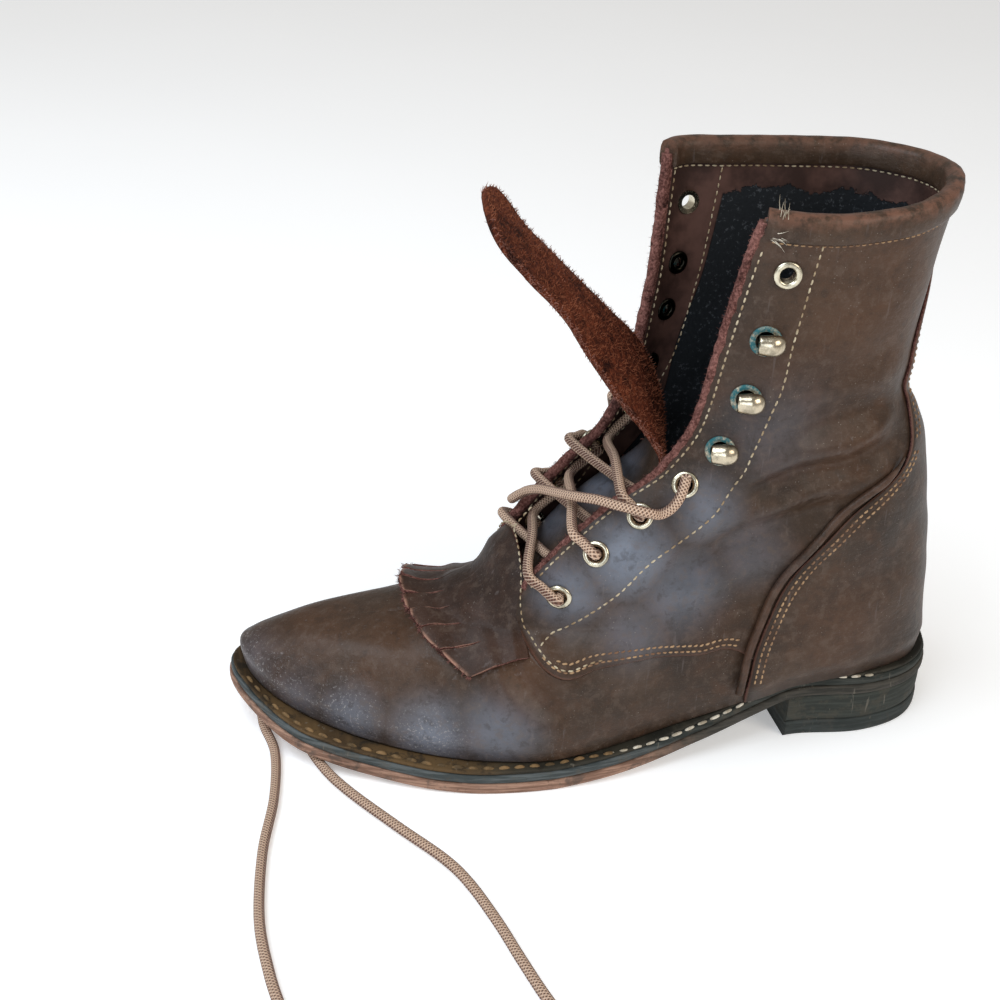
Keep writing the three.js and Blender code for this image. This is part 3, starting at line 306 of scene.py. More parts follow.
def laceFinish(name):
    f = Finish(name, Specular_IOR_Level=0.3)
    uv = f.node("ShaderNodeUVMap", None, {"uv_map": "run"})
    around = f.node("ShaderNodeSeparateXYZ", {0: uv})
    run = Val(f, around.socket.node.outputs[1])
    turn = 2 * math.pi  # six strands go round each way, and both ways cross 3.2 times in a braid length
    one = (around * (turn * 6) + run * (turn * 3.2)).sin()
    two = (around * (turn * 6) - run * (turn * 3.2)).sin()
    strand = one.most(two)
    tan = (around * (turn * 2)).sin().above(-0.75, 0.15)
    colour = f.mix(tan, (0.16, 0.075, 0.05), (0.52, 0.34, 0.235))
    colour = f.mix(one.above(0.3, 0.9) * 0.5, colour, (0.72, 0.56, 0.44))
    # painted shade: the gaps between the strands are darkened
    colour = f.mix((1 - strand.above(-0.3, 0.6)) * 0.85, colour, (0.07, 0.032, 0.022))
    normal = f.bump(strand * 0.5 + f.noise(2500, 2) * 0.3, 0.7, 0.0006)
    return f.out(Base_Color=colour, Roughness=strand * -0.08 + 0.72, Normal=normal)


def brassFinish(name, base, patina):
    f = Finish(name, Specular_IOR_Level=0.5)
    wear = f.noise(240, 4, 0.65)
    crust = (f.field("patina") + f.noise(330, 5, 0.75) * 0.9).above(0.95, 1.15)
    colour = f.mix(wear.above(0.4, 0.68), base, tuple(v * 0.5 for v in base))
    colour = f.mix(crust, colour, patina)
    normal = f.bump(wear + crust * 1.4, 0.25, 0.0005)
    return f.out(Base_Color=colour, Metallic=1 - crust, Roughness=wear * 0.16 + crust * 0.5 + 0.16, Normal=normal)


def threadFinish(name, light, dark):
    f = Finish(name, Specular_IOR_Level=0.3)
    fibre = f.noise(2600, 2, 0.6)
    colour = f.mix(f.noise(130, 4, 0.7).above(0.4, 0.62), light, dark)
    return f.out(Base_Color=colour, Roughness=fibre * 0.1 + 0.68, Normal=f.bump(fibre, 0.4, 0.0004))


finishes = {
    "leather": leather("oiledLeather"),
    "quarter": leather("quarterLeather", edges="beside", worn="rub"),
    "overlay": leather("overlayLeather", edges="beside", worn="rub"),
    "collar": leather("collarLeather", worn="rub"),
    "raw": suede("rawEdge", (0.075, 0.026, 0.021), (0.33, 0.15, 0.125), 1.3, 1.0),
    "suede": suede("tongueSuede", (0.042, 0.008, 0.0035), (0.19, 0.046, 0.019), 0.8, 1.0),
    "nap": suede("tongueNapHair", (0.12, 0.03, 0.014), (0.34, 0.12, 0.06), 0.8, 0.4),
    "napRim": suede("tongueRimHair", (0.2, 0.075, 0.05), (0.42, 0.21, 0.16), 0.8, 0.4),
    "kilt": leather("fringeLeather", worn="rub", look=kiltLook),
    "lining": liningFinish("lining"),
    "outsole": edgeFinish("soleLeatherEdge", (0.17, 0.092, 0.062), (0.34, 0.2, 0.14), (0.05, 0.045, 0.04), 900, 0.6,
                          ((0.016, 0.018, 0.015), (0.045, 0.044, 0.036))),
    "midsole": edgeFinish("darkMidsole", (0.04, 0.048, 0.048), (0.09, 0.1, 0.1), (0.1, 0.075, 0.05), 700, 0.3,
                          ((0.014, 0.017, 0.014), (0.04, 0.042, 0.036))),
    # the welt's edge is darker behind 165 mm along the boot's axis
    "welt": edgeFinish("weltLeather", (0.045, 0.026, 0.011), (0.1, 0.058, 0.023), (0.015, 0.012, 0.008), 300, 0.75,
                       ((0.012, 0.012, 0.009), (0.034, 0.031, 0.022)), 0.165),
    "heel": edgeFinish("heelRubber", (0.022, 0.025, 0.021), (0.036, 0.04, 0.034), (0.075, 0.062, 0.045), 500, 0.35),
    "lift": edgeFinish("heelLift", (0.02, 0.024, 0.022), (0.036, 0.042, 0.04), (0.07, 0.06, 0.05), 500, 0.3),
    "insole": suede("insoleLeather", (0.012, 0.009, 0.008), (0.04, 0.03, 0.026)),
    "lace": laceFinish("laceBraid"),
    "tip": threadFinish("laceTip", (0.05, 0.03, 0.022), (0.02, 0.012, 0.01)),
    "brass": brassFinish("agedBrass", (0.66, 0.6, 0.46), (0.01, 0.13, 0.14)),
    "hookBrass": brassFinish("hookBrass", (0.58, 0.5, 0.37), (0.006, 0.1, 0.115)),
    # near-black brass: painted shade under the hooks' hoods and on their inner washers
    "hollowShade": brassFinish("hookHollowShade", (0.02, 0.018, 0.014), (0.004, 0.02, 0.022)),
    "thread": threadFinish("seamThread", (0.5, 0.42, 0.29), (0.26, 0.18, 0.1)),
    "darkThread": threadFinish("dyedThread", (0.38, 0.24, 0.13), (0.17, 0.09, 0.05)),
    "weltThread": threadFinish("weltThread", (0.22, 0.13, 0.055), (0.08, 0.05, 0.022)),
    "paleThread": threadFinish("paleThread", (0.62, 0.56, 0.46), (0.3, 0.25, 0.18)),
}
print("finishes made:", len(finishes))


# Quads between neighbours of a grid of points; a round grid closes on its first column.
def gridFaces(rows, columns, around=False):
    i, j = np.meshgrid(np.arange(rows - 1), np.arange(columns if around else columns - 1), indexing="ij")
    k = (j + 1) % columns
    return np.stack([i * columns + j, i * columns + k, (i + 1) * columns + k, (i + 1) * columns + j], -1)


# Meshes: patches of a grid or of small forms are gathered, then made into one object.
class Patchwork:
    def __init__(self):
        self.points, self.faces, self.uvs, self.slots, self.fields = [], [], [], [], []
        self.triangles = []

    def count(self):
        return sum(len(p) for p in self.points)

    def add(self, points, faces, uv=None, slot=0, **fields):
        start = self.count()
        self.points.append(np.asarray(points).reshape(-1, 3))
        self.faces.append(np.asarray(faces) + start)
        self.uvs.append(np.zeros((faces.size, 2)) if uv is None else uv)
        self.slots.append(np.full(len(faces), slot))
        self.fields.append({k: np.broadcast_to(v, np.shape(points)[:-1]).reshape(-1) for k, v in fields.items()})

    # A grid of points as faces turned to outward; run gives uv along a round grid's rows, keep picks faces.
    def grid(self, points, outward=None, around=False, run=None, slot=0, keep=None, **fields):
        rows, columns = points.shape[:2]
        faces = gridFaces(rows, columns, around)
        uv = None
        if run is not None:
            i, j = faces[..., 0] // columns, faces[..., 0] % columns
            share = np.arange(columns + 1) / columns
            uv = np.stack([np.stack([share[j + n], run[i + m]], -1) for n, m in ((0, 0), (1, 0), (1, 1), (0, 1))], -2)
        flat = points.reshape(-1, 3)
        if outward is not None:
            a, b, d = (flat[faces[..., n]] for n in (0, 1, 3))
            out = np.broadcast_to(outward, points.shape).reshape(-1, 3)[faces[..., 0]]
            if np.einsum("ijk,ijk->", np.cross(b - a, d - a), out) < 0:
                faces = faces[..., ::-1]
                uv = None if uv is None else uv[..., ::-1, :]
        faces = faces.reshape(-1, 4)
        uv = None if uv is None else uv.reshape(-1, 4, 2)
        if keep is not None:
            kept = keep(flat[faces].mean(1))
            faces, uv = faces[kept], None if uv is None else uv[kept]
        self.add(flat, faces, None if uv is None else uv.reshape(-1, 2), slot,
                 **{name: np.broadcast_to(v, points.shape[:2]).reshape(-1) for name, v in fields.items()})

    def tube(self, path, radius, sides=12, **fields):
        rings, out, run = tubeGrid(path, radius, sides)
        self.grid(rings, out, around=True, run=run, **fields)

    def make(self, name, materials, weld=0, sharp=40):
        points = np.concatenate(self.points) / 1000
        for caps in self.triangles:
            self.faces.append(caps)
            self.uvs.append(np.zeros((caps.size, 2)))
            self.slots.append(np.zeros(len(caps)))
        faces = [face for block in self.faces for face in block.tolist()]
        mesh = bpy.data.meshes.new(name)
        mesh.from_pydata(points, [], faces)
        mesh.polygons.foreach_set("material_index", np.concatenate(self.slots).astype(np.int32))
        layer = mesh.uv_layers.new(name="run")
        layer.data.foreach_set("uv", np.concatenate(self.uvs).astype(np.float32).ravel())
        named = sorted({key for fields in self.fields for key in fields} | {"shade"})
        for key in named:
            usual = 1.0 if key == "shade" else 0.0
            values = [f.get(key, np.full(len(p), usual)) for f, p in zip(self.fields, self.points)]
            layer = mesh.attributes.new(key, "FLOAT", "POINT")
            layer.data.foreach_set("value", np.concatenate(values).astype(np.float32))
        for material in materials:
            mesh.materials.append(material)
        piece = bpy.data.objects.new(name, mesh)
        bpy.context.scene.collection.objects.link(piece)
        if weld:
            weldPoints(piece, weld / 1000)
        mesh.polygons.foreach_set("use_smooth", np.ones(len(mesh.polygons), dtype=bool))
        mesh.set_sharp_from_angle(angle=math.radians(sharp))
        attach(piece, "root")
        return piece


def reworked(piece, work):
    made = bmesh.new()
    made.from_mesh(piece.data)
    work(made)
    made.to_mesh(piece.data)
    made.free()
    return piece


def weldPoints(piece, distance):
    return reworked(piece, lambda m: bmesh.ops.remove_doubles(m, verts=m.verts, dist=distance))


def outwardFaces(piece):
    return reworked(piece, lambda m: bmesh.ops.recalc_face_normals(m, faces=m.faces))


def thicken(piece, thickness):  # a wall inwards; its inner face takes the second material and its rim the third
    solid = piece.modifiers.new("wall", "SOLIDIFY")
    solid.thickness = thickness / 1000
    solid.offset = -1
    solid.use_even_offset = True
    solid.use_quality_normals = True
    solid.material_offset = 1
    solid.material_offset_rim = 2
    return piece


# A cubic through table rows that never overshoots them; ys may differ from point to point along its last axis.
def hermite(xs, ys, x):
    xs, ys, x = np.asarray(xs, float), np.asarray(ys, float), np.asarray(x, float)
    slopes = np.diff(ys) / np.diff(xs)
    one, two = slopes[..., :-1], slopes[..., 1:]
    total = np.where(one * two <= 0, 1, one + two)
    inner = np.where(one * two <= 0, 0, 2 * one * two / total)
    tangents = np.concatenate([slopes[..., :1], inner, slopes[..., -1:]], -1)
    held = np.clip(x, xs[0], xs[-1])
    i = np.clip(np.searchsorted(xs, held) - 1, 0, len(xs) - 2)

    def pick(table, index):
        if table.ndim == 1:
            return table[index]
        return np.take_along_axis(table, index[..., None], -1)[..., 0]

    width = xs[i + 1] - xs[i]
    t = (held - xs[i]) / width
    low, high = pick(ys, i), pick(ys, i + 1)
    return (low + (high - low) * (3 * t * t - 2 * t ** 3) + (t - 2 * t * t + t ** 3) * width * pick(tangents, i)
            + (t ** 3 - t * t) * width * pick(tangents, i + 1))


# Sizes of the boot, the same as its solids are built from.
boot = {"length": 300.0, "ball": 105.0, "rear": -39.0, "heel": 20.0, "heelLength": 72.0, "lift": 7.0, "outsole": 4.5,
        "midsole": 3.6, "welt": 1.6, "spring": 15.0, "gap": 0.3, "height": 210.0, "wall": 2.4, "step": 1.4,
        "counter": 1.5, "lace": 4.0, "top": 15, "throatFoot": 7.6}
stackHeight = boot["outsole"] + boot["midsole"] + boot["welt"] + 2 * boot["gap"] + 0.5
seatHeight = boot["heel"] + stackHeight
soleRise = [(0, 1), (0.2, 1), (0.245, 0.965), (0.29, 0.79), (0.38, 0.43), (0.47, 0.16), (0.59, 0)]
toeRise = [(0.7, 0), (0.756, 0.06), (0.82, 0.18), (0.88, 0.33), (0.94, 0.56), (1, 1)]
swing = [(0, 0), (0.5, 0), (0.65, -0.025), (0.8, -0.085), (0.9, -0.15), (1, -0.225)]
# at, lateral and medial half-widths of the sole
soleOutline = np.array([(0.12, 0.325, 0.325), (0.24, 0.315, 0.3), (0.38, 0.392, 0.29), (0.53, 0.48, 0.36),
                        (0.64, 0.513, 0.455), (0.756, 0.492, 0.44), (0.82, 0.448, 0.412), (0.88, 0.402, 0.362),
                        (0.93, 0.335, 0.31)])
sectionNames = ["back", "front", "backRise", "frontRise", "dip", "onSole", "heel", "waistL", "waistM", "jointL",
                "jointM", "tipL", "tipM", "round", "blunt"]
sections = np.array([
    (0.022, 0.978, 0, 0, 0, 1, 0.3, 0.365, 0.265, 0.455, 0.4, 0.335, 0.31, 1.33, 1),
    (0.024, 0.985, 0.035, 0.039, 0, 0.95, 0.309, 0.378, 0.28, 0.473, 0.42, 0.345, 0.315, 1.33, 1),
    (0.029, 0.972, 0.078, 0.062, 0, 0.8, 0.312, 0.382, 0.29, 0.47, 0.425, 0.33, 0.295, 1.3, 1),
    (0.034, 0.943, 0.13, 0.085, 0, 0.6, 0.309, 0.373, 0.3, 0.448, 0.41, 0.29, 0.265, 1.28, 1),
    (0.038, 0.897, 0.183, 0.105, 0, 0.4, 0.305, 0.362, 0.309, 0.42, 0.385, 0.255, 0.235, 1.25, 1),
    (0.044, 0.82, 0.233, 0.113, 0, 0.22, 0.3, 0.352, 0.314, 0.39, 0.352, 0.235, 0.21, 1.2, 1),
    (0.049, 0.743, 0.283, 0.122, 0, 0.1, 0.295, 0.343, 0.314, 0.37, 0.325, 0.245, 0.2, 1.15, 1.05),
    (0.058, 0.673, 0.335, 0.168, 0, 0, 0.286, 0.333, 0.309, 0.36, 0.315, 0.3, 0.22, 1.1, 1.2),
    (0.066, 0.643, 0.388, 0.236, 0, 0, 0.281, 0.329, 0.309, 0.352, 0.315, 0.335, 0.26, 1.08, 1.3),
    (0.074, 0.606, 0.435, 0.314, 0, 0, 0.271, 0.324, 0.309, 0.345, 0.32, 0.312, 0.27, 1.06, 1.15),
    (0.083, 0.563, 0.483, 0.385, 0, 0, 0.262, 0.324, 0.314, 0.343, 0.33, 0.28, 0.275, 1.04, 1.1),
    (0.1, 0.517, 0.53, 0.452, 0, 0, 0.252, 0.329, 0.319, 0.343, 0.34, 0.24, 0.285, 1.02, 1),
    (0.122, 0.488, 0.588, 0.557, 0, 0, 0.238, 0.329, 0.324, 0.343, 0.35, 0.23, 0.295, 1, 1),
    (0.118, 0.48, 0.715, 0.715, 0.002, 0, 0.238, 0.33, 0.329, 0.34, 0.357, 0.23, 0.295, 1, 1),
    (0.109, 0.478, 0.845, 0.85, 0.012, 0, 0.238, 0.336, 0.329, 0.338, 0.36, 0.234, 0.31, 1, 1),
    (0.095, 0.478, 0.98, 0.978, 0.032, 0, 0.248, 0.343, 0.338, 0.336, 0.36, 0.238, 0.33, 1, 1)])
# level, lateral and medial half openings of the throat
throatRows = np.array([(7, 0.22, 0.17), (8, 0.229, 0.18), (10, 0.229, 0.185), (11, 0.232, 0.19), (12, 0.25, 0.22),
                       (13, 0.267, 0.25), (15, 0.305, 0.315)])
quarterSeam = [(0.184, -0.12), (0.328, 0.085), (0.4, 0.098), (0.468, 0.11), (0.535, 0.104), (0.578, 0.086),
               (0.61, 0.1), (0.632, 0.14), (0.638, 0.19), (0.635, 0.25), (0.625, 0.34)]
counterEdge = [(0.326, -0.11), (0.322, 0.02), (0.314, 0.11), (0.292, 0.21), (0.257, 0.292), (0.215, 0.362),
               (0.168, 0.42), (0.136, 0.462), (0.128, 0.505), (0.134, 0.56), (0.142, 0.6), (0.14, 0.66),
               (0.127, 0.74), (0.113, 0.82), (0.103, 0.885)]
eyestayRow = [(0.606, 0.128), (0.56, 0.182), (0.524, 0.237), (0.484, 0.299), (0.44, 0.35), (0.402, 0.398),
              (0.371, 0.471), (0.358, 0.523), (0.343, 0.599), (0.333, 0.65), (0.329, 0.718), (0.321, 0.797),
              (0.314, 0.867), (0.305, 0.945)]


def sideWord(side):
    return "lateral" if side > 0 else "medial"


def fromTable(rows, x):
    table = np.array(rows, float)
    return hermite(table[:, 0], table[:, 1], x)


def soleShare(x):
    return (x - boot["rear"]) / boot["length"]


def soleBottom(x):
    return fromTable(soleRise, soleShare(x)) * boot["heel"] + fromTable(toeRise, soleShare(x)) * boot["spring"]


def centreLine(x):
    return fromTable(swing, soleShare(x)) * boot["ball"]


def sectionAt(level, names):
    return [hermite(np.arange(16), sections[:, sectionNames.index(name)], level) for name in names]


def sectionEnds(level):
    return [boot["rear"] + share * boot["length"] for share in sectionAt(level, ("back", "front"))]


# Last surface: x runs between a section's two ends as (1 + cos angle) / 2, and y is sin angle times half a width.
def lastPoint(level, angle):
    level, angle = np.broadcast_arrays(np.asarray(level, float), np.asarray(angle, float))
    held = np.clip(level, 0, boot["top"])
    v = dict(zip(sectionNames, sectionAt(held, sectionNames)))
    t = (1 + np.cos(angle)) / 2
    backX, frontX = sectionEnds(held)
    x = backX + (frontX - backX) * t
    lateral = np.sin(angle) >= 0
    stations = np.array([0.12, 0.4, 0.64, 0.86])
    sides = [np.where(lateral, v[k + "L"], v[k + "M"]) for k in ("waist", "joint", "tip")]
    shares = np.stack([v["heel"], *sides], -1) * boot["ball"] / (2 * np.sqrt(stations * (1 - stations)))
    first, final = shares[..., :1] * v["round"][..., None], shares[..., -1:] * v["blunt"][..., None]
    ys = np.concatenate([first, shares, final], -1)
    half = hermite([0, *stations, 1], ys, t)
    y = centreLine(x) + np.sin(angle) * half
    seat = v["onSole"] * (soleBottom(x) + stackHeight) + (1 - v["onSole"]) * seatHeight
    dip = v["dip"] * np.maximum(0, np.sin(angle)) ** 2
    rise = v["backRise"] + (v["frontRise"] - v["backRise"]) * t - dip
    return np.stack([x, y, seat + rise * boot["height"] + (level - held) * boot["height"] / boot["top"]], -1)


def unit(v):
    return v / np.maximum(np.linalg.norm(v, axis=-1, keepdims=True), 1e-9)


def lastNormal(level, angle):
    step = 0.02
    wide = lastPoint(level, angle + step) - lastPoint(level, angle - step)
    high = lastPoint(level + step, angle) - lastPoint(level - step, angle)
    normal = unit(np.cross(wide, high))
    ends = np.broadcast_to((level <= 0) | (level >= boot["top"]), normal.shape[:-1])
    normal[..., 2] = np.where(ends, 0, normal[..., 2])
    return unit(normal)


# Folds in the leather: side, width, depth, height of the ridge along both its sides, and its line in side view.
folds = [
    (1, 6, 2.8, 1.8, [(0.655, 0.125), (0.635, 0.08), (0.61, 0.04), (0.57, 0.0)]),
    (1, 6, 1.3, 0.8, [(0.72, 0.16), (0.70, 0.09), (0.68, 0.03)]),
    (1, 8, 0.9, 0.5, [(0.775, 0.12), (0.76, 0.06), (0.75, 0.02)]),
    (1, 7, 0.9, 0.6, [(0.55, 0.05), (0.5, 0.03), (0.45, 0.05)]),
    (-1, 6, 2.2, 1.3, [(0.655, 0.125), (0.635, 0.08), (0.61, 0.03)]),
    (-1, 6, 1.2, 0.7, [(0.73, 0.15), (0.70, 0.06)]),
    (1, 5.5, 3.2, 2.4, [(0.15, 0.52), (0.22, 0.475), (0.29, 0.47), (0.37, 0.43)]),
    (1, 6.5, 2.4, 1.6, [(0.16, 0.6), (0.23, 0.585), (0.31, 0.56)]),
    (1, 7.5, 2.6, 1.6, [(0.2, 0.42), (0.28, 0.37), (0.37, 0.33), (0.46, 0.27)]),
    (1, 9, 1.1, 0.7, [(0.3, 0.25), (0.38, 0.21), (0.47, 0.18)]),
    (1, 10, 1.2, 0.7, [(0.17, 0.72), (0.22, 0.66), (0.29, 0.63)]),
    (1, 10, 1.0, 0.6, [(0.1, 0.3), (0.15, 0.24), (0.22, 0.2)]),
    (-1, 8, 2.0, 1.2, [(0.15, 0.52), (0.25, 0.49), (0.35, 0.43)]),
    (-1, 8, 1.7, 1.0, [(0.2, 0.43), (0.32, 0.37), (0.44, 0.31)]),
    (-1, 9, 1.2, 0.7, [(0.16, 0.66), (0.25, 0.64), (0.34, 0.58)])]
rootCover = {"x": 140, "y": 2, "long": 24, "wide": 30}  # the leather doesn't sink over the tongue's root


def sideXZ(rows):
    rows = np.array(rows, float)
    return np.stack([boot["rear"] + rows[:, 0] * boot["length"], seatHeight + rows[:, 1] * boot["height"]], -1)


# Distance from points to a polyline, the share of the line where it is met, and which side they are on.
def toLine(points, line):
    a, b = line[:-1], line[1:]
    span = b - a
    length = np.linalg.norm(span, axis=-1)
    rel = points[..., None, :] - a
    t = np.clip((rel * span).sum(-1) / length ** 2, 0, 1)
    gap = rel - t[..., None] * span
    distance = np.linalg.norm(gap, axis=-1)
    best = distance.argmin(-1)[..., None]
    walked = np.concatenate([[0], np.cumsum(length)])
    share = (walked[:-1] + t * length) / walked[-1]
    cross = span[..., 0] * rel[..., 1] - span[..., 1] * rel[..., 0]
    distance, share, cross = (np.take_along_axis(v, best, -1)[..., 0] for v in (distance, share, cross))
    return distance, share, np.sign(cross)


waves = unit(rng.normal(size=(14, 3))) * rng.uniform(0.5, 1.0, (14, 1))
phases = rng.uniform(0, 6.28, 14)
featherHeight = 14
swells = [(62, 0.8), (24, 0.22)]  # length and height of the leather's own unevenness


# Low swells: a mean of sine waves sin(k . p + phase) in random directions, with a given length in millimetres.
def swell(points, length):
    return np.sin(points @ (waves.T * 2 * math.pi / length) + phases).mean(-1)


def relief(points, angle):
    side = np.where(np.sin(np.broadcast_to(angle, points.shape[:-1])) >= 0, 1, -1)
    flat = points[..., [0, 2]]
    total = sum(swell(points, length) * high for length, high in swells)
    for foldSide, wide, deep, ridge, line in folds:
        distance, share, _ = toLine(flat, sideXZ(line))
        fade = np.clip(np.minimum(share, 1 - share) / 0.22, 0, 1) * 0.75 + 0.25
        shape = -deep * np.exp(-(distance / wide) ** 2)
        shape = shape + ridge * np.exp(-((distance - 1.7 * wide) / wide) ** 2)
        total = total + np.where(side == foldSide, shape * fade, 0)
    across = np.clip(1.4 - np.abs(points[..., 1] - rootCover["y"]) / rootCover["wide"], 0, 1)
    over = np.exp(-((points[..., 0] - rootCover["x"]) / rootCover["long"]) ** 2) * across
    total = np.where(total < 0, total * (1 - np.clip(over * 1.2, 0, 0.9)), total)
    # no relief at the feather line, where the welt holds the leather
    return total * np.clip((points[..., 2] - soleBottom(points[..., 0]) - stackHeight) / featherHeight, 0, 1)


def skinPoint(level, angle, offset):
    base = lastPoint(level, angle)
    normal = lastNormal(level, angle)
    return base + normal * (np.asarray(offset + relief(base, angle))[..., None])


def solveUp(increasing, target, low, high, steps=34):
    a, b = np.broadcast_arrays(np.asarray(low, float), np.asarray(high, float) + 0 * np.asarray(target, float))
    a, b = a + 0 * b, b.copy()
    for _ in range(steps):
        middle = (a + b) / 2
        less = increasing(middle) < target
        a, b = np.where(less, middle, a), np.where(less, b, middle)
    return (a + b) / 2


def throatAngle(level, side):
    level = np.clip(np.asarray(level, float), 7, boot["top"])
    half = hermite(throatRows[:, 0], throatRows[:, 1 if side > 0 else 2] * boot["ball"], level)

    def away(angle):
        p = lastPoint(level, side * angle)
        return np.abs(p[..., 1] - centreLine(p[..., 0]))

    return side * solveUp(away, half, 0, 1.5)


def angleAtX(level, x, side):
    backX, frontX = sectionEnds(np.clip(level, 0, boot["top"]))
    return side * np.arccos(np.clip(2 * (x - backX) / (frontX - backX) - 1, -1, 1))


def sidePlace(x, z, side):
    level = solveUp(lambda l: lastPoint(l, angleAtX(l, x, side))[..., 2], z, 0, boot["top"])
    return level, angleAtX(level, x, side)


def topPlace(x, y):
    x, y = np.broadcast_arrays(np.asarray(x, float), np.asarray(y, float))
    side = np.where(y >= centreLine(x), 1, -1)

    def shy(level):
        inside = -np.abs(lastPoint(level, angleAtX(level, x, side))[..., 1] - centreLine(x))
        return np.where(x >= sectionEnds(level)[1], 1000, inside)

    level = solveUp(shy, -np.abs(y - centreLine(x)), 0, 9)
    return level, angleAtX(level, x, side)


# Length walked along a grid of points to each of them, from the first or the last.
def gather(points, axis=0, fromEnd=False):
    steps = np.linalg.norm(np.diff(points, axis=axis), axis=-1)
    zero = np.zeros_like(np.take(steps, [0], axis=axis))
    if fromEnd:
        return np.flip(np.concatenate([zero, np.cumsum(np.flip(steps, axis), axis)], axis), axis)
    return np.concatenate([zero, np.cumsum(steps, axis)], axis)


# A uniform Catmull-Rom line through points, then spaced evenly along its length.
def smoothLine(points, count):
    p = np.asarray(points, float)
    padded = np.concatenate([p[:1], p, p[-1:]])
    t = np.linspace(0, len(p) - 1 - 1e-9, 40 * len(p))
    i = t.astype(int)
    w = (t - i)[:, None]
    a, b, d, e = padded[i], padded[i + 1], padded[i + 2], padded[i + 3]
    u, v = (d - a) / 2, (e - b) / 2
    dense = (2 * b - 2 * d + u + v) * w ** 3 + (3 * d - 3 * b - 2 * u - v) * w ** 2 + u * w + b
    return evenly(dense, count)


def evenly(points, count):
    walked = gather(points)
    targets = np.linspace(0, walked[-1], count)
    return np.stack([np.interp(targets, walked, points[:, n]) for n in range(points.shape[1])], -1)


def lengthOf(points):
    return float(gather(points)[-1])


def circle(one, two, sides):
    turn = np.linspace(0, 2 * math.pi, sides, endpoint=False)[:, None]
    return one[..., None, :] * np.cos(turn) + two[..., None, :] * np.sin(turn)


# Round tube: a circle carried along a path on frames that turn as little as they can, its run in braid lengths.
braidLength, tubeWeld = 4.4, 0.001


def tubeGrid(path, radius, sides=12):
    tangent = unit(np.gradient(path, axis=0))
    side = unit(np.cross(tangent[0], [0.3, 0.2, 1.0]))
    frames = []
    for t in tangent:
        side = unit(side - t * (side @ t))
        frames.append(side)
    ring = circle(np.array(frames), np.cross(tangent, frames), sides)
    rings = path[:, None] + ring * np.broadcast_to(radius, (len(path),))[:, None, None]
    walked = gather(path)

    def closed(first, middle, last):  # with an end point for each end
        return np.concatenate([np.repeat(first[:, None], sides, 1), middle, np.repeat(last[:, None], sides, 1)])

    rings, ring = closed(path[:1], rings, path[-1:]), closed(-tangent[:1], ring, tangent[-1:])
    return rings, ring, np.concatenate([[0], walked, walked[-1:]]) / braidLength


def tubePiece(name, path, radius, material):
    work = Patchwork()
    work.tube(path, radius)
    return work.make(name, [material], weld=tubeWeld)


# Free lace ends: the same routes as their solids, from the fourth row over the inner side to the floor.
laceEnds = {
    "lateral": [
        (93, 35.5, 130), (95.2, 37.8, 124), (98.5, 38.6, 119.2), (103, 38.6, 116.8), (108.5, 40, 118.8),
        (113.8, 38.2, 119.8), (119, 34, 119.6), (124.5, 27.5, 118.6), (130, 19, 115.6), (134.5, 8.5, 111.8),
        (138, -3, 107.2), (141.2, -13, 101.2), (144.3, -20.5, 94), (143.2, -25.8, 91), (138.5, -29, 91.3),
        (131, -32.3, 89.5), (125.8, -35.2, 80), (124.3, -38.5, 68), (125, -46.8, 53), (130.5, -50.5, 37),
        (139, -57, 22), (148, -65, 9.5), (157, -70, 3), (167, -71, 2.3), (188, -73, 2.3),
        (214, -71, 2.3), (236, -58, 2.3), (247, -34, 2.3), (249, -8, 2.3), (246, 14, 2.3), (249, 42, 2.3),
        (256, 72, 2.3), (260, 105, 2.3), (259, 130, 2.3), (256, 150, 2.3), (250, 175, 2.3)],
    "medial": [
        (101, -33, 131), (101.3, -36, 130.8), (100.2, -38.6, 127.5), (98.4, -40.2, 120), (98.3, -41, 110),
        (99, -41, 97), (102.5, -41.5, 80), (107.5, -45, 63), (112.5, -47, 45), (118.5, -51, 28),
        (126, -58, 13), (136, -62.5, 4), (148, -63, 2.3), (160, -63, 2.3), (175, -63, 2.3), (200, -63, 2.3),
        (221, -55, 2.3), (231, -38, 2.3), (235, -15, 2.3), (233, 8, 2.3), (228, 26, 2.3), (220, 42, 2.3),
        (204, 66, 2.3), (190, 86, 2.3), (183, 101, 2.3), (177, 122, 2.3), (173, 140, 2.3), (168, 160, 2.3),
        (160, 184, 2.3)]}
laceTip = {"length": 14.0, "over": 0.18}
for sideName, route in laceEnds.items():
    path = smoothLine(route, 420)
    cord = tubePiece("laceEnd_" + sideName, path, boot["lace"] / 2, finishes["lace"])
    tail = path[gather(path, 0, True) <= laceTip["length"]]
    tip = tubePiece("laceTip_" + sideName, tail, boot["lace"] / 2 + laceTip["over"], finishes["tip"])
    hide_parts("lace_end_" + sideName)
print("lace ends laid")


# Lacing rows: where the eyelets and hooks sit, walked along a line inside the eyestay's edge.
rowPlaces = {"inset": 15, "spacing": [1.5, 21.2, 21.2, 21.2, 21.2, 22.5, 22.5, 25.5], "medialShare": 0.955}


def lacingRows(side):
    levels = np.linspace(boot["throatFoot"], boot["top"], 61)
    steps = np.arange(140) * 0.01
    angles = throatAngle(levels, side)[:, None] + side * steps
    points = lastPoint(levels[:, None], angles)
    first = (gather(points, 1)[:, 1:] >= rowPlaces["inset"]).argmax(1) + 1
    gone = gather(points[np.arange(61), first])
    spacing = np.cumsum(rowPlaces["spacing"]) * (1 if side > 0 else rowPlaces["medialShare"])
    rows = []
    for i in [int((gone >= t).argmax()) if (gone >= t).any() else 60 for t in spacing]:
        level, angle = levels[i], angles[i, first[i]]
        rows.append({"level": level, "angle": angle, "normal": lastNormal(level, angle), "side": side,
                     "skin": skinPoint(level, angle, boot["step"])})
    return rows


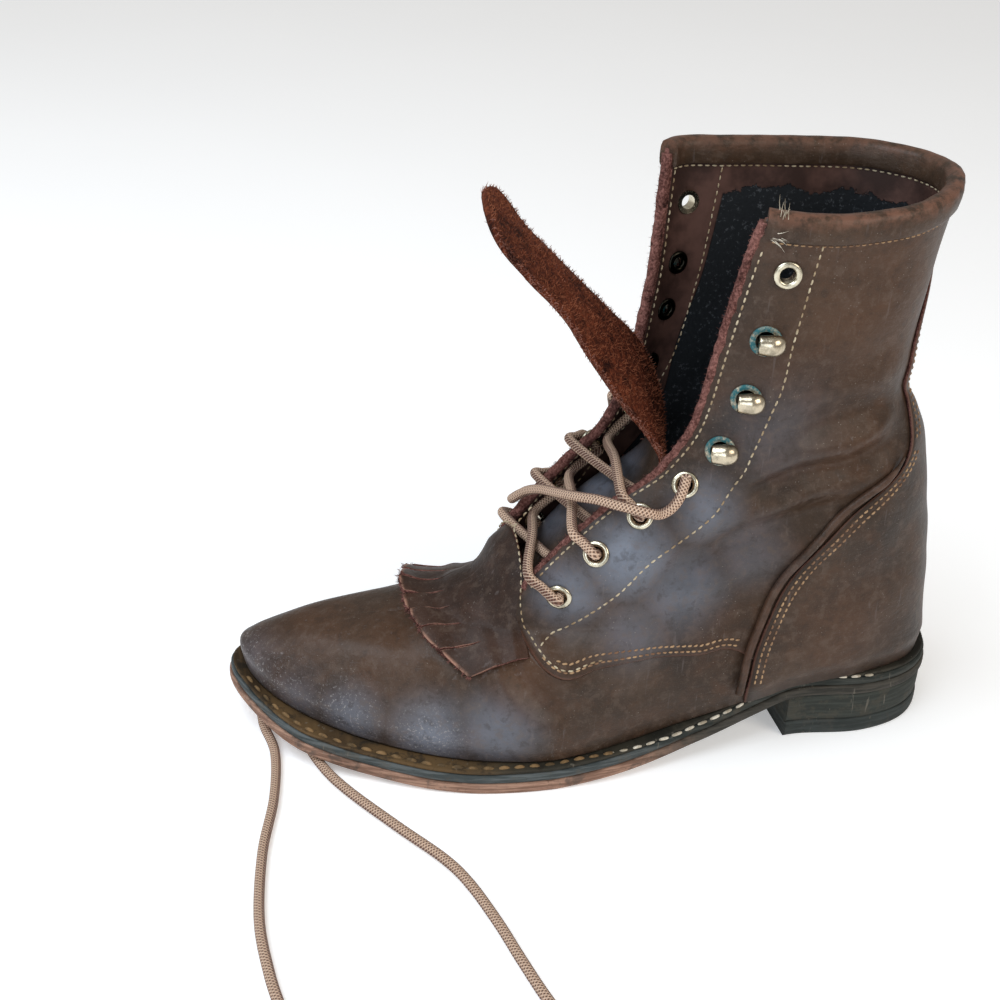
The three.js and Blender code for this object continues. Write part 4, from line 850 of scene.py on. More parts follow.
eyelet = {"outer": 5.2, "bore": 2.8, "high": 0.95, "hole": 3.9, "patina": 0.22, "topPatina": 0.4}
rows = {"lateral": lacingRows(1), "medial": lacingRows(-1)}
holes = [row for side in rows.values() for row in side]


def clearOfHoles(centres):
    kept = np.ones(len(centres), bool)
    for row in holes:
        gap = centres - row["skin"]
        depth = gap @ row["normal"]
        across = np.linalg.norm(gap - depth[:, None] * row["normal"], axis=-1)
        kept &= (across > eyelet["hole"]) | (np.abs(depth) > 8)
    return kept


# The upper's panels: columns fan from the eyestay's edge round the back, rows climb to the seam and the collar.
def fanAngle(level, share):
    left, right = throatAngle(level, 1), throatAngle(level, -1)
    lateral = left + (math.pi - left) * np.minimum(share * 2, 1)
    medial = math.pi + (math.pi + right) * np.maximum(share * 2 - 1, 0)
    return np.where(share <= 0.5, lateral, medial)


seamLine = smoothLine(sideXZ(quarterSeam), 90)
fan = {"columns": 380, "vampRows": 76, "frontColumns": 84, "quarterRows": 124, "quarterColumns": 270}


def insideSeam(level, share):
    p = lastPoint(level, fanAngle(level, share))
    distance, _, side = toLine(p[..., [0, 2]], seamLine)
    return distance * side


def seamLevels(share):
    found = solveUp(lambda level: insideSeam(level, share), np.zeros_like(share), 0, 12, 26)
    return np.maximum(found, 1.0)


def makeVamp():
    work = Patchwork()
    share = np.linspace(0, 1, fan["columns"])
    seam = seamLevels(share)
    climb = np.linspace(0, 1, fan["vampRows"])[:, None]
    level = climb * seam
    angle = fanAngle(level, np.broadcast_to(share, level.shape))
    points = skinPoint(level, angle, 0)
    work.grid(points, lastNormal(level, angle), beside=gather(points, 0, True) + 3, rub=0)
    across = np.linspace(0, 1, fan["frontColumns"])
    level = climb * (seam[-1] + (seam[0] - seam[-1]) * across)
    left, right = throatAngle(level, 1), throatAngle(level, -1)
    angle = right + (left - right) * across
    work.grid(skinPoint(level, angle, 0), lastNormal(level, angle), beside=30, rub=0)
    piece = work.make("vamp", [finishes["leather"], finishes["lining"], finishes["raw"]], weld=0.02)
    return thicken(piece, boot["wall"] - 0.1)


def makeQuarters():
    work = Patchwork()
    share = np.linspace(0, 1, fan["quarterColumns"])
    seam = seamLevels(share)
    climb = np.linspace(0, 1, fan["quarterRows"])[:, None]
    level = seam + (boot["top"] - 0.05 - seam) * climb
    angle = fanAngle(level, np.broadcast_to(share, level.shape))
    points = lastPoint(level, angle)
    fromSeam, fromCollar = gather(points, 0), gather(points, 0, True)
    fromThroat = np.minimum(gather(points, 1), gather(points, 1, True))
    edge = np.minimum(fromSeam, fromThroat)
    rolled = -0.75 * np.clip(1 - edge / 1.6, 0, 1) ** 2
    points = skinPoint(level, angle, boot["step"] + rolled)
    rub = np.clip(1 - edge / 3.0, 0, 1) * 0.35 + np.clip(1 - np.abs(points[..., 2] - 224) / 16, 0, 1) * 0.2
    work.grid(points, lastNormal(level, angle), keep=clearOfHoles, beside=edge, rub=rub, fromCollar=fromCollar,
              fromThroat=fromThroat)
    piece = work.make("quarters", [finishes["quarter"], finishes["lining"], finishes["raw"]])
    return thicken(piece, boot["wall"] + boot["step"] - 0.1)


vamp = makeVamp()
quarters = makeQuarters()
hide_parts("upper")
print("upper made")


# Counter: a patch round the heel between two mirrored edges, climbing as a strap to the collar.
def makeCounter():
    work = Patchwork()
    edge = smoothLine(sideXZ(counterEdge), 400)
    low = np.searchsorted(edge[:, 1], seatHeight + 1.5)
    line = evenly(edge[low:], 150)
    levels, ends = {}, {}
    for side in (1, -1):
        levels[side], ends[side] = sidePlace(line[:, 0], line[:, 1], side)
    across = np.linspace(0, 1, 110)
    blend = across * across * (3 - 2 * across)
    level = levels[1][:, None] * (1 - blend) + levels[-1][:, None] * blend
    level[0] = 0.02
    angle = ends[1][:, None] + (2 * math.pi + ends[-1][:, None] - ends[1][:, None]) * across
    base = lastPoint(level, angle)
    edgeGap = np.minimum(gather(base, 1), gather(base, 1, True))
    rolled = -0.6 * np.clip(1 - edgeGap / 1.5, 0, 1) ** 2
    seated = np.clip(1 - (base[..., 2] - soleBottom(base[..., 0]) - stackHeight) / 10, 0, 1)
    rolled = rolled - 1.7 * seated ** 1.5  # pulled in above the welt
    points = skinPoint(level, angle, boot["step"] + boot["gap"] + boot["counter"] + rolled)
    work.grid(points, lastNormal(level, angle), beside=edgeGap, rub=0)
    piece = work.make("counterPatch", [finishes["overlay"], finishes["raw"], finishes["raw"]])
    return thicken(piece, boot["counter"])


counter = makeCounter()
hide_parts("counter")


piping = {"ahead": 3.2, "radius": 1.65, "over": 1.3, "foot": 3.4, "taper": 14}


def makePiping(side):
    line = smoothLine(sideXZ(counterEdge[1:8]), 120)
    tangent = unit(np.gradient(line, axis=0))
    ahead = piping["ahead"]
    level, angle = sidePlace(line[:, 0] + tangent[:, 1] * ahead, line[:, 1] - tangent[:, 0] * ahead, side)
    path = skinPoint(level, angle, boot["step"] + piping["over"])
    down = np.linspace(1, 0, 8)[:-1, None]  # its foot runs down between the leather and the welt
    path = np.concatenate([path[:1] + down * [0.6, 0.4 * side, -piping["foot"]], path])
    count = len(path)
    radius = piping["radius"] + 0.04 * np.sin(np.arange(count) * 0.5) + 0.02 * rng.normal(size=count)
    radius[-piping["taper"]:] *= np.linspace(1, 0.3, piping["taper"])
    work = Patchwork()
    work.tube(path, radius, 14, rub=0.25)
    return work.make("pipingRoll_" + sideWord(side), [finishes["collar"]], weld=tubeWeld)


for side in (1, -1):
    roll = makePiping(side)
    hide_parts("counter_piping_" + sideWord(side))


# Collar binding: a folded strip whose outline is carried along the top edge from one eyestay to the other.
binding = {"drop": 8.0, "thick": 1.3}


def perLevel(angle):  # height of the shaft's last level, in millimetres
    return lastPoint(15, angle)[..., 2] - lastPoint(14, angle)[..., 2]


def makeBinding():
    outside = boot["step"] + 0.35
    inside = -boot["wall"] - 0.6
    t, drop = binding["thick"], binding["drop"]
    outline = np.array([
        (outside, -drop), (outside + t * 0.6, -drop - 0.2), (outside + t, -drop + 0.8),
        (outside + t * 1.15, -drop / 2), (outside + t, -1), (outside + t * 0.5, 0.9), (outside - 0.7, 1.8),
        ((outside + inside) / 2, 2.1), (inside + 0.7, 1.8), (inside - t * 0.5, 0.9), (inside - t, -1),
        (inside - t, -drop / 2), (inside - t, -drop + 0.8), (inside - t * 0.5, -drop - 0.2), (inside, -drop),
        (inside, 0.5), (outside, 0.5)])
    left, right = throatAngle(15, 1) + 0.015, throatAngle(15, -1) - 0.015
    angles = np.linspace(left, right + 2 * math.pi, 300)[:, None]
    level = 15 + np.minimum(outline[:, 1], 0) / perLevel(angles)
    lumps = 0.25 * np.sin(angles * 21) * np.sin(angles * 8.3 + 1)
    across = outline[:, 0] + lumps * np.where(outline[:, 1] > -2, 1, 0.3)
    points = skinPoint(level, np.broadcast_to(angles, level.shape), across)
    points[..., 2] += np.maximum(outline[:, 1], 0)
    caps = [end.mean(1, keepdims=True).repeat(len(outline), 1) for end in (points[:1], points[-1:])]
    points = np.concatenate([caps[0], points, caps[1]])
    rub = np.clip((outline[:, 1] + 3.5) / 4, 0, 1) * np.where(outline[:, 0] > -1.5, 1, 0.6)
    work = Patchwork()
    work.grid(points, points - points.mean(1, keepdims=True), around=True, rub=rub)
    return work.make("collarBand", [finishes["collar"]], weld=tubeWeld, sharp=60)


band = makeBinding()
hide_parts("collar_binding")
print("counter, piping and collar made")


# Tongue: a strip along a spine in side view, cupped across, its suede side to the ankle. Each row has the spine's
# place as shares of length and height, then width, cup and twist.
tongueRows = np.array([
    (0.64, 0.152, 0.45, 0.1, 0), (0.612, 0.205, 0.5, 0.08, 0), (0.577, 0.257, 0.64, 0.06, 0),
    (0.535, 0.325, 0.7, 0.05, 0.2), (0.487, 0.385, 0.72, 0.04, 0.5), (0.455, 0.43, 0.7, 0.03, 0.8),
    (0.44, 0.475, 0.66, 0, 1), (0.447, 0.521, 0.62, -0.01, 1.2), (0.48, 0.602, 0.56, -0.02, 1.5),
    (0.527, 0.688, 0.54, -0.03, 1.2), (0.585, 0.783, 0.6, -0.03, 0.8), (0.635, 0.853, 0.74, -0.02, 0.7),
    (0.67, 0.905, 0.9, 0, 0.8), (0.69, 0.935, 0.96, 0, 0.9)])
tongue = {"width": 58.0, "thick": 2.2, "twist": 6.0, "shift": 2.0, "rows": 150, "columns": 46}


def makeTongue():
    count, knot = tongue["rows"], np.arange(float(len(tongueRows)))
    spine = smoothLine(sideXZ(tongueRows), count)
    knots = smoothLine(np.stack([*sideXZ(tongueRows).T, knot * 12], -1), count)[:, 2] / 12  # place among the rows
    tangent = unit(np.gradient(spine, axis=0))
    width, cup, twist = (hermite(knot, tongueRows[:, n], knots) for n in (2, 3, 4))
    taper = np.ones(count)
    taper[-12:] = np.sqrt(np.clip(1 - np.linspace(0.03, 0.985, 12) ** 2, 0.02, 1))
    half = width * tongue["width"] / 2 * taper
    share = np.linspace(-1, 1, tongue["columns"])
    ahead = -cup[:, None] * tongue["width"] * share ** 2
    ahead = ahead + (twist * tongue["twist"] * taper)[:, None] * share + tongue["thick"] / 2
    # its root lies on the vamp's centre line
    shift = tongue["shift"] * (1 - 2.2 * np.clip(1 - knots / 3, 0, 1))[:, None]
    base = np.stack([spine[:, :1] + 0 * share, shift + half[:, None] * share, spine[:, 1:] + 0 * share], -1)
    free = np.clip((knots - 7.5) / 2, 0, 1)[:, None]
    ahead = ahead + (swell(base * [1, 1.3, 1], 38) * 1.3 + swell(base, 14) * 0.4) * free
    base[..., 1] += swell(base * [1, 0, 1], 26) * np.abs(share) * free
    normal = np.stack([tangent[:, 1], 0 * tangent[:, 0], -tangent[:, 0]], -1)[:, None]
    points = base + normal * ahead[..., None]
    work = Patchwork()
    work.grid(points, np.broadcast_to(normal, points.shape), rub=0, beside=30)
    piece = work.make("tongueFlap", [finishes["leather"], finishes["suede"], finishes["suede"]])
    return thicken(piece, tongue["thick"])


flap = makeTongue()
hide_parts("tongue")


# Fringe: a saddle over the vamp in rows from its neck to its tips, split into strips that curl up. Each row of the
# first table has a place across, the reach there and the curl, and each of the second a strip's own differences.
fringeRows = np.array([(-1, 0.55, 0.3), (-0.6, 0.86, 0.75), (-0.2, 1, 1), (0.25, 1, 0.55), (0.6, 0.88, 0.25),
                       (1, 0.5, 0.08)])
stripRows = {"uneven": np.array([0.0, 0.5, -0.6, 0.3, 0.6, -0.4, 0.3, 0.0]),
             "slit": np.array([1, 0.9, 1.1, 0.95, 1.05, 0.9, 1.0, 0.8]),
             "turn": np.array([0.9, -0.5, 1.2, -0.4, 0.5, -0.3, 0.4, 0.0])}
fringe = {"half": 0.36, "reach": 37.0, "neck": 4.6, "thick": 1.6, "off": 1.0, "strips": 8, "slit": 17.0, "gap": 0.4,
          "curl": 7.0, "tuck": 2.4, "fibres": 700, "neckRows": 6, "sheetRows": 14, "freeRows": 26}


def makeFringe():
    half = boot["ball"] * fringe["half"]
    front = max(boot["rear"] + at * boot["length"] for at, _ in quarterSeam) + 0.6
    slit = fringe["gap"] / half
    columns, strips, middles, corners = [], [], [], []
    for n in range(fringe["strips"]):
        low = -1 + 2 * n / fringe["strips"] + slit / 2
        high = -1 + 2 * (n + 1) / fringe["strips"] - slit / 2
        for share in (0, 0.035, 0.16, 0.38, 0.62, 0.84, 0.965, 1):
            columns.append(low + (high - low) * share)
            strips.append(n)
            middles.append((low + high) / 2)
            corners.append(abs(2 * share - 1))
    columns, strips, middles, corners = (np.array(v) for v in (columns, strips, middles, corners))
    uneven, cut, turn = (stripRows[key][strips] for key in ("uneven", "slit", "turn"))
    reach = hermite(fringeRows[:, 0], fringeRows[:, 1], columns) * fringe["reach"] + uneven
    curl = hermite(fringeRows[:, 0], fringeRows[:, 2], columns) * fringe["curl"]
    root = np.maximum(reach - fringe["slit"] * cut, 1.5)
    neckRows, sheetRows, freeRows = fringe["neckRows"], fringe["sheetRows"], fringe["freeRows"]
    i = np.arange(neckRows + sheetRows + freeRows + 1)[:, None] - neckRows
    walk = np.where(i <= 0, fringe["neck"] * i / neckRows, root * i / sheetRows)
    past = (i - sheetRows) / freeRows
    walk = np.where(i > sheetRows, root + (reach - root) * past, walk)
    walk = walk - np.where(i > sheetRows, 0.7 * corners ** 4 * np.clip(past, 0, 1) ** 3, 0)
    x = front + walk
    y = centreLine(x) + columns * half
    level, angle = topPlace(x, y)
    lift = curl * np.clip(walk / reach, 0, 1) ** 2.4
    tipTurn = turn * (columns - middles) * fringe["strips"]
    lift = lift + np.clip(past, 0, 1) ** 1.5 * (tipTurn + 0.35 * np.sin(strips * 2.4 + 1))
    base = lastPoint(level, angle)
    normal = lastNormal(level, angle)
    tuck = fringe["tuck"] * np.clip(-walk / fringe["neck"], 0, 1)  # its neck goes down under the quarters' edges
    height = fringe["off"] + fringe["thick"] + lift - tuck + np.maximum(relief(base, angle), 0)
    points = base + normal * height[..., None]
    faces = np.roll(gridFaces(*walk.shape)[..., ::-1], 1, -1)
    joined = (np.arange(len(walk) - 1)[:, None] < neckRows + sheetRows) | (strips[:-1] == strips[1:])
    faces = faces[joined]
    flat = points.reshape(-1, 3)
    facing = np.cross(flat[faces[:, 1]] - flat[faces[:, 0]], flat[faces[:, 3]] - flat[faces[:, 0]])
    if (facing * normal.reshape(-1, 3)[faces[:, 0]]).sum() < 0:
        faces = faces[:, ::-1]
    used = np.unique(faces)
    renumber = np.zeros(len(flat), int)
    renumber[used] = np.arange(len(used))
    tip = np.clip(1.3 - (reach - walk) / 1.1, 0, 1)
    tip = np.maximum(tip, np.where(corners > 0.95, np.clip(past * 5, 0, 1), 0) * 0.8)
    work = Patchwork()
    work.add(flat[used], renumber[faces], rub=tip.reshape(-1)[used], beside=30)
    piece = work.make("fringeFlap", [finishes["kilt"], finishes["raw"], finishes["raw"]])
    return thicken(piece, fringe["thick"]), points, normal


kilt, kiltPoints, kiltNormals = makeFringe()
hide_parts("fringe")
print("tongue and fringe made")


# Sole slabs: rings across the length, each a flat bottom, a side profile, a flat top and the other side's profile.
def soleHalf(side, t):
    table = soleOutline[:, 1 if side > 0 else 2] * boot["ball"]
    at = soleOutline[:, 0]
    shares = table / (2 * np.sqrt(at * (1 - at)))
    return hermite([0, *at, 1], [shares[0] * 1.32, *shares, shares[-1] * 0.88], t)


# A slab's rim: depth into the slab and share of its height.
rimRows = [(0.9, 0), (0.35, 0.06), (0.05, 0.22), (0, 0.5), (0.05, 0.78), (0.35, 0.94), (0.9, 1)]


def slabPiece(name, material, low, high, inset, until=1.0, rings=170):
    last = math.acos(1 - 2 * until)
    turn = np.linspace(0, last, rings)
    t = (1 - np.cos(turn)) / 2

    def rail(side, depth, share, scale=1.0):
        depth = depth + inset
        x = boot["rear"] + depth + t * (boot["length"] - 2 * depth)
        half = side * np.maximum(0, np.sin(turn) * (soleHalf(side, t) - depth))
        return np.stack([x, centreLine(x) + half * scale, low(x) + (high(x) - low(x)) * share], -1)

    inner = np.linspace(0.97, 0, 16)

    def plate(side, depth, share):  # from one side's rim to the other's
        return [rail(side, depth, share, k) for k in inner] + [rail(-side, depth, share, k) for k in inner[::-1][1:]]

    columns = [rail(1, *row) for row in rimRows] + plate(1, *rimRows[-1])
    columns += [rail(-1, *row) for row in rimRows[::-1]] + plate(-1, *rimRows[0])
    points = np.stack(columns, 1)
    work = Patchwork()
    work.grid(points, points - points.mean(1, keepdims=True), around=True)
    if until < 1:  # the flat front of the heel
        work.add(points[-1], np.arange(points.shape[1])[None])
    return work.make(name, [material], weld=0.01, sharp=50)


def overTread(height):
    return lambda x: soleBottom(x) + height


def overFloor(height):
    return lambda x: 0 * x + height


play = 0.1  # between two slabs, at each of them
midsoleLow = boot["outsole"] + boot["gap"] * 0.4
weltLow = midsoleLow + boot["midsole"] + boot["gap"] * 0.4
weltTop = overTread(weltLow + boot["welt"])
heelFront = boot["heelLength"] / boot["length"]
# node, piece, finish, slot, underside, upper side, inset, and for the heel its length's share and its rings
slabs = [
    ("outsole", "outsoleEdge", "outsole", "sole_edge_leather", overTread(0), overTread(boot["outsole"]), 0.0),
    ("midsole", "midsoleEdge", "midsole", "sole_rubber", overTread(midsoleLow),
     overTread(midsoleLow + boot["midsole"]), 0.7),
    ("welt", "weltEdge", "welt", "welt_leather", overTread(weltLow), weltTop, 1.6),
    ("heel_stack", "heelBlock", "heel", "sole_rubber", overFloor(boot["lift"] + play), overTread(-play), 0.8,
     heelFront, 60),
    ("top_lift", "heelLift", "lift", "sole_rubber", overFloor(0), overFloor(boot["lift"]), 0.4, heelFront, 60)]
for node, name, finish, slot, *sizes in slabs:
    piece = slabPiece(name, finishes[finish], *sizes)
    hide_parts(node)
frame["nodes"]["insole"].data.materials.clear()
frame["nodes"]["insole"].data.materials.append(finishes["insole"])
print("sole made")


# Eyelets: a rolled flange and barrel turned round each row's normal, with a washer on the inner face.
def turned(row, outline, sides=40):
    one = unit(np.cross(row["normal"], [0.1, 0.2, 1.0]))
    r, h = (np.array(outline, float)[:, n][:, None, None] for n in (0, 1))
    return row["skin"] + circle(one, np.cross(row["normal"], one), sides) * r + row["normal"] * h


def rolledFlange(outer, bore, height, depth):
    middle, radius = (outer + bore) / 2, (outer - bore) / 2
    bead = np.linspace(-0.2, 1.0, 9) * math.pi
    rim = [(middle + radius * math.cos(a), height * math.sin(a) + 0.25) for a in bead]
    foot, washer = outer * 0.93, outer * 0.88
    return [(foot, -0.2), *rim, (bore, -depth * 0.5), (bore, -depth - 0.5), (washer, -depth - 0.8),
            (washer, -depth + 0.1), (bore + 0.7, -depth + 0.2), (bore + 0.7, -0.3), (foot, -0.2)]


def makeEyelets():
    work = Patchwork()
    outline = rolledFlange(eyelet["outer"], eyelet["bore"], eyelet["high"], boot["wall"] + boot["step"])
    for side in rows.values():
        for i in (0, 1, 2, 3, 7):
            patina = eyelet["topPatina" if i == 7 else "patina"]
            work.grid(turned(side[i], outline), around=True, patina=patina)
    return work.make("eyeletRings", [finishes["brass"]], weld=tubeWeld, sharp=60)


eyelets = outwardFaces(makeEyelets())
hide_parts(*[f"eyelet_{side}_{i}" for side in rows for i in (1, 2, 3, 4, 8)])


# Hooks: a low disc and a long dome that stands on its outer end and overhangs towards the throat. Outlines are
# turned round the row's normal as radius and height.
hookDisc = np.array([(0, 0.3), (3.4, 0.3), (4.4, 0.9), (5.6, 0.8), (5.9, 0.3), (5.6, -0.3), (2.4, -0.3), (0, -0.3)])
hook = {"post": [(2.6, 0.2), (2.4, 3.4), (0, 3.4), (0, 0.2), (2.6, 0.2)], "postAway": 3.6, "lip": 0.12,
        "open": 3.9, "long": 9.6, "wide": 4.1, "high": 3.5, "axis": 4.3}


# Hood: a barrel over the disc with a round far end and a rolled lip on its open end, as x, y, z and patina.
def hookHood():
    lip = hook["lip"]
    u = np.linspace(0, 1, 24)[:, None]
    v = np.linspace(0, 2 * math.pi, 36, endpoint=False)
    body = -hook["open"] + hook["long"] * (u - lip) / (1 - lip)
    x = np.where(u < lip, -hook["open"] - 0.5 * np.sin(u / lip * math.pi), body)
    fall = np.clip((x - 1.0) / 4.7, 0, 1)
    wide = np.sqrt(np.clip(1 - fall ** 2.4, 0, 1)) * (1 - 0.12 * np.clip((0.2 - x) / 4, 0, 1))
    wide = np.where(u < lip, 0.72 + 0.16 * u / lip, wide) * np.where(u < 0.001, 0.001, 1)
    z = hook["high"] * wide * np.sin(v)
    z = np.where(z < 0, z * 0.55, z) + hook["axis"] - 0.25 * np.clip(x - 1, 0, 9)
    patina = 0.16 + 0.5 * np.clip((3.4 - z) / 2.0, 0, 1) + 0.2 * np.clip((-x - 2.6) / 1.5, 0, 1)
    return (x + 0 * v + 1.5)[..., None], (hook["wide"] * wide * np.cos(v))[..., None], z[..., None], patina


def makeHooks():
    work = Patchwork()
    x, y, z, patina = hookHood()
    # a thin near-black disc under the hood, and the washer inside the wall, carry painted shade: dark brass standing
    # in for the shade under the hood
    hollowShade = hookDisc[:5] * [0.72, 0] + [0, 0.55]
    hollowShade = np.concatenate([hollowShade, hollowShade[::-1] * [1, 0] + [0, 0.4]])
    washer = rolledFlange(4.7, 2.2, 0.8, 0.2)
    for row in [side[i] for side in rows.values() for i in (4, 5, 6)]:
        skin, normal = row["skin"], row["normal"]
        ahead = lastPoint(row["level"], row["angle"] + row["side"] * 0.05)
        away = unit(ahead - lastPoint(row["level"], row["angle"]))
        work.grid(turned(row, hookDisc, 28), around=True, patina=0.62)
        work.grid(turned(row, hollowShade, 24), around=True, slot=1, patina=0.1)
        inner = {"skin": skin - normal * (boot["wall"] + boot["step"] + 0.1), "normal": -normal}
        work.grid(turned(inner, washer, 28), around=True, slot=1, patina=0.35)
        hood = skin + away * x + np.cross(normal, away) * y + normal * z
        work.grid(hood, around=True, patina=patina)
        foot = {"skin": skin + away * hook["postAway"], "normal": normal}
        work.grid(turned(foot, hook["post"], 20), around=True, patina=0.5)
    return work.make("laceHooks", [finishes["hookBrass"], finishes["hollowShade"]], weld=tubeWeld, sharp=60)


hooks = outwardFaces(makeHooks())
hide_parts(*[f"hook_{side}_{i}" for side in rows for i in (5, 6, 7)])
print("metal made")


# Lacing: each strand rises through an eyelet, crosses its own eyestay's edge and dives under the other.
lacing = {"rise": 3.3, "over": 2.5, "under": 3.0, "below": 2.6, "lifts": (-1.6, 2.4), "edgeShares": (0.38, 0.75),
          "barDrop": 6.2}


def atEdge(level, side, offset, inset=0.0):
    angle = throatAngle(level, side) + side * inset
    return skinPoint(np.float64(level), np.float64(angle), offset)


def offRow(row, height):
    return row["skin"] + row["normal"] * height


def strandPoints(start, finish, lift):
    side = start["side"]
    low = -boot["wall"] - boot["step"] - lacing["below"]
    nearLevel, farLevel = (start["level"] * (1 - k) + finish["level"] * k for k in lacing["edgeShares"])
    rise = offRow(start, lacing["rise"])
    over = atEdge(nearLevel, side, boot["step"] + lacing["over"])
    flap = (rise + over) / 2 + start["normal"] * 0.6
    under = atEdge(farLevel, -side, -boot["wall"] - lacing["under"], 0.06)
    crown = (over + under) / 2 + np.array([0, 0, lift])
    return [offRow(start, low), start["skin"], rise, flap, over, crown, under, offRow(finish, low - 0.6)]


def makeLacing():
    lateral, medial = rows["lateral"], rows["medial"]
    order = [[medial[0], lateral[1], medial[2], lateral[3]], [lateral[0], medial[1], lateral[2], medial[3]]]
    work = Patchwork()
    for n, (stops, name) in enumerate(zip(order, ("lateral", "medial"))):
        points = []
        for i, (start, finish) in enumerate(zip(stops[:-1], stops[1:])):
            points += strandPoints(start, finish, lacing["lifts"][(n + i) % 2])
        final, end = stops[-1], np.array(laceEnds[name][0], float)
        points += [offRow(final, -6.0), final["skin"], end * 0.75 + final["skin"] * 0.25, end]
        work.tube(smoothLine(points, 520), boot["lace"] / 2)
    one, two = (offRow(stops[0], -lacing["barDrop"]) for stops in order)
    middle = (one + two) / 2 + np.array([-2.0, 0, -3.0])
    bar = [one, one * 0.6 + middle * 0.4, middle, two * 0.6 + middle * 0.4, two]
    work.tube(smoothLine(bar, 60), boot["lace"] / 2)
    return work.make("laceThrough", [finishes["lace"]], weld=tubeWeld)


laced = makeLacing()
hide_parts("lace_crossing_1", "lace_crossing_2", "lace_crossing_3")
print("lacing made")


# Stitches: short lozenges with round ends, set along a line on the leather at an even pitch. A point of one is
# (cos u, sin u ^ 0.6 cos v, sin u ^ 0.6 sin v) times its half sizes, bent down to its ends.
def stitchInto(work, line, normals, pitch, length, thick, lean=0.0):
    count = max(2, int(lengthOf(line) / pitch))
    place = evenly(np.concatenate([line, normals], 1), count)
    centre, normal = place[:, :3], unit(place[:, 3:])
    tangent = unit(np.gradient(centre, axis=0))
    side = np.cross(normal, tangent)
    tangent = unit(tangent + side * (lean + rng.normal(size=(count, 1)) * 0.05))
    side = np.cross(normal, tangent)
    u = np.linspace(0, math.pi, 7)[:, None]
    v = np.linspace(0, 2 * math.pi, 8, endpoint=False)
    shape = np.stack([np.cos(u) + 0 * v, np.sin(u) ** 0.6 * np.cos(v), np.sin(u) ** 0.6 * np.sin(v)], -1)
    size = np.array([length / 2, thick / 2, thick / 2]) * (1 + rng.normal(size=(count, 1)) * 0.06)
    centre = centre + normal * thick * 0.12
    local = shape[None] * size[:, None, None]
    bend = (local[..., :1] / (length / 2)) ** 2 * thick * 0.35
    tangent, side, normal = (v[:, None, None] for v in (tangent, side, normal))
    points = centre[:, None, None] + tangent * local[..., :1] + side * local[..., 1:2]
    points = points + normal * (local[..., 2:] - bend)
    face = np.roll(gridFaces(7, 8, True)[..., ::-1], 1, -1).reshape(-1, 4)
    work.add(points.reshape(-1, 3), (face + np.arange(count)[:, None, None] * 56).reshape(-1, 4))


def onSide(table, side, offset, shift=0.0, span=(0.0, 1.0), count=160):
    line = smoothLine(sideXZ(table), 400)
    line = evenly(line[int(span[0] * 399):int(span[1] * 399) + 1], count)
    tangent = unit(np.gradient(line, axis=0))
    x, z = line[:, 0] - tangent[:, 1] * shift, line[:, 1] + tangent[:, 0] * shift
    level, angle = sidePlace(x, z, side)
    return skinPoint(level, angle, offset), lastNormal(level, angle)


def alongThroat(side, inset, low, high, offset, count=160):
    level = np.linspace(low, high, count)
    edge = throatAngle(level, side)
    reach = edge[:, None] + side * np.linspace(0, 0.9, 90)
    walk = gather(lastPoint(level[:, None], reach), 1)
    angle = np.array([np.interp(inset, walk[n], reach[n]) for n in range(count)])
    return skinPoint(level, angle, offset), lastNormal(level, angle)


# Seams on the panels: places on the leather, then pitch, length and thickness of the stitches and their lean.
def makeSeams():
    light, dark = Patchwork(), Patchwork()
    step = boot["step"]
    overCounter = step + boot["gap"] + boot["counter"]
    for side in (1, -1):
        stitchInto(light, *alongThroat(side, 3.6, 7.9, 14.4, step), 2.9, 2.1, 0.75)
        stitchInto(light, *onSide(eyestayRow, side, step), 3.1, 2.2, 0.75)
        # round the quarter's front corner, then twice along the vamp seam, crossing at its point
        stitchInto(light, *onSide(quarterSeam, side, step, 3.0, (0.62, 0.985)), 2.9, 2.0, 0.7)
        stitchInto(dark, *onSide(quarterSeam, side, step, 2.4, (0.34, 0.74)), 2.5, 1.9, 0.8)
        stitchInto(dark, *onSide(quarterSeam, side, step, 5.0, (0.34, 0.71)), 2.5, 1.9, 0.8, 0.25)
        for shift in (2.3, 4.9):
            stitchInto(dark, *onSide(counterEdge, side, overCounter, shift, (0.13, 0.62)), 2.5, 1.9, 0.8)
            strap = onSide(counterEdge, side, overCounter, shift * 0.9, (0.64, 0.985), 90)
            stitchInto(dark, *strap, 2.5, 1.8, 0.7)
        # inside: beside the eyestay's edge and down the far edge of its facing
        for inset in (4.5, 27.0):
            points, normals = alongThroat(side, inset, 8.5, 14.6, -boot["wall"] - 0.05)
            stitchInto(light, points, -normals, 3.0, 2.0, 0.6)
    left, right = throatAngle(15, 1) + 0.08, throatAngle(15, -1) - 0.08
    angles = np.linspace(left, right + 2 * math.pi, 300)
    level = 15 - (binding["drop"] + 1.3) / perLevel(angles)
    normals = lastNormal(level, angles)
    stitchInto(dark, skinPoint(level, angles, step), normals, 2.5, 1.8, 0.6)
    stitchInto(light, skinPoint(level, angles, -boot["wall"]), -normals, 2.8, 1.9, 0.65)
    for name, work, finish in (("paleSeams", light, "thread"), ("tanSeams", dark, "darkThread")):
        outwardFaces(work.make(name, [finishes[finish]]))


makeSeams()
# Stitches on the welt: round the forefoot they stand 4.35 mm inside its rim, at the waist on the rim itself.
weltSeam = {"rim": 0.15, "inside": 4.2, "from": 0.42, "over": 0.14, "waist": 215, "sink": 0.35}


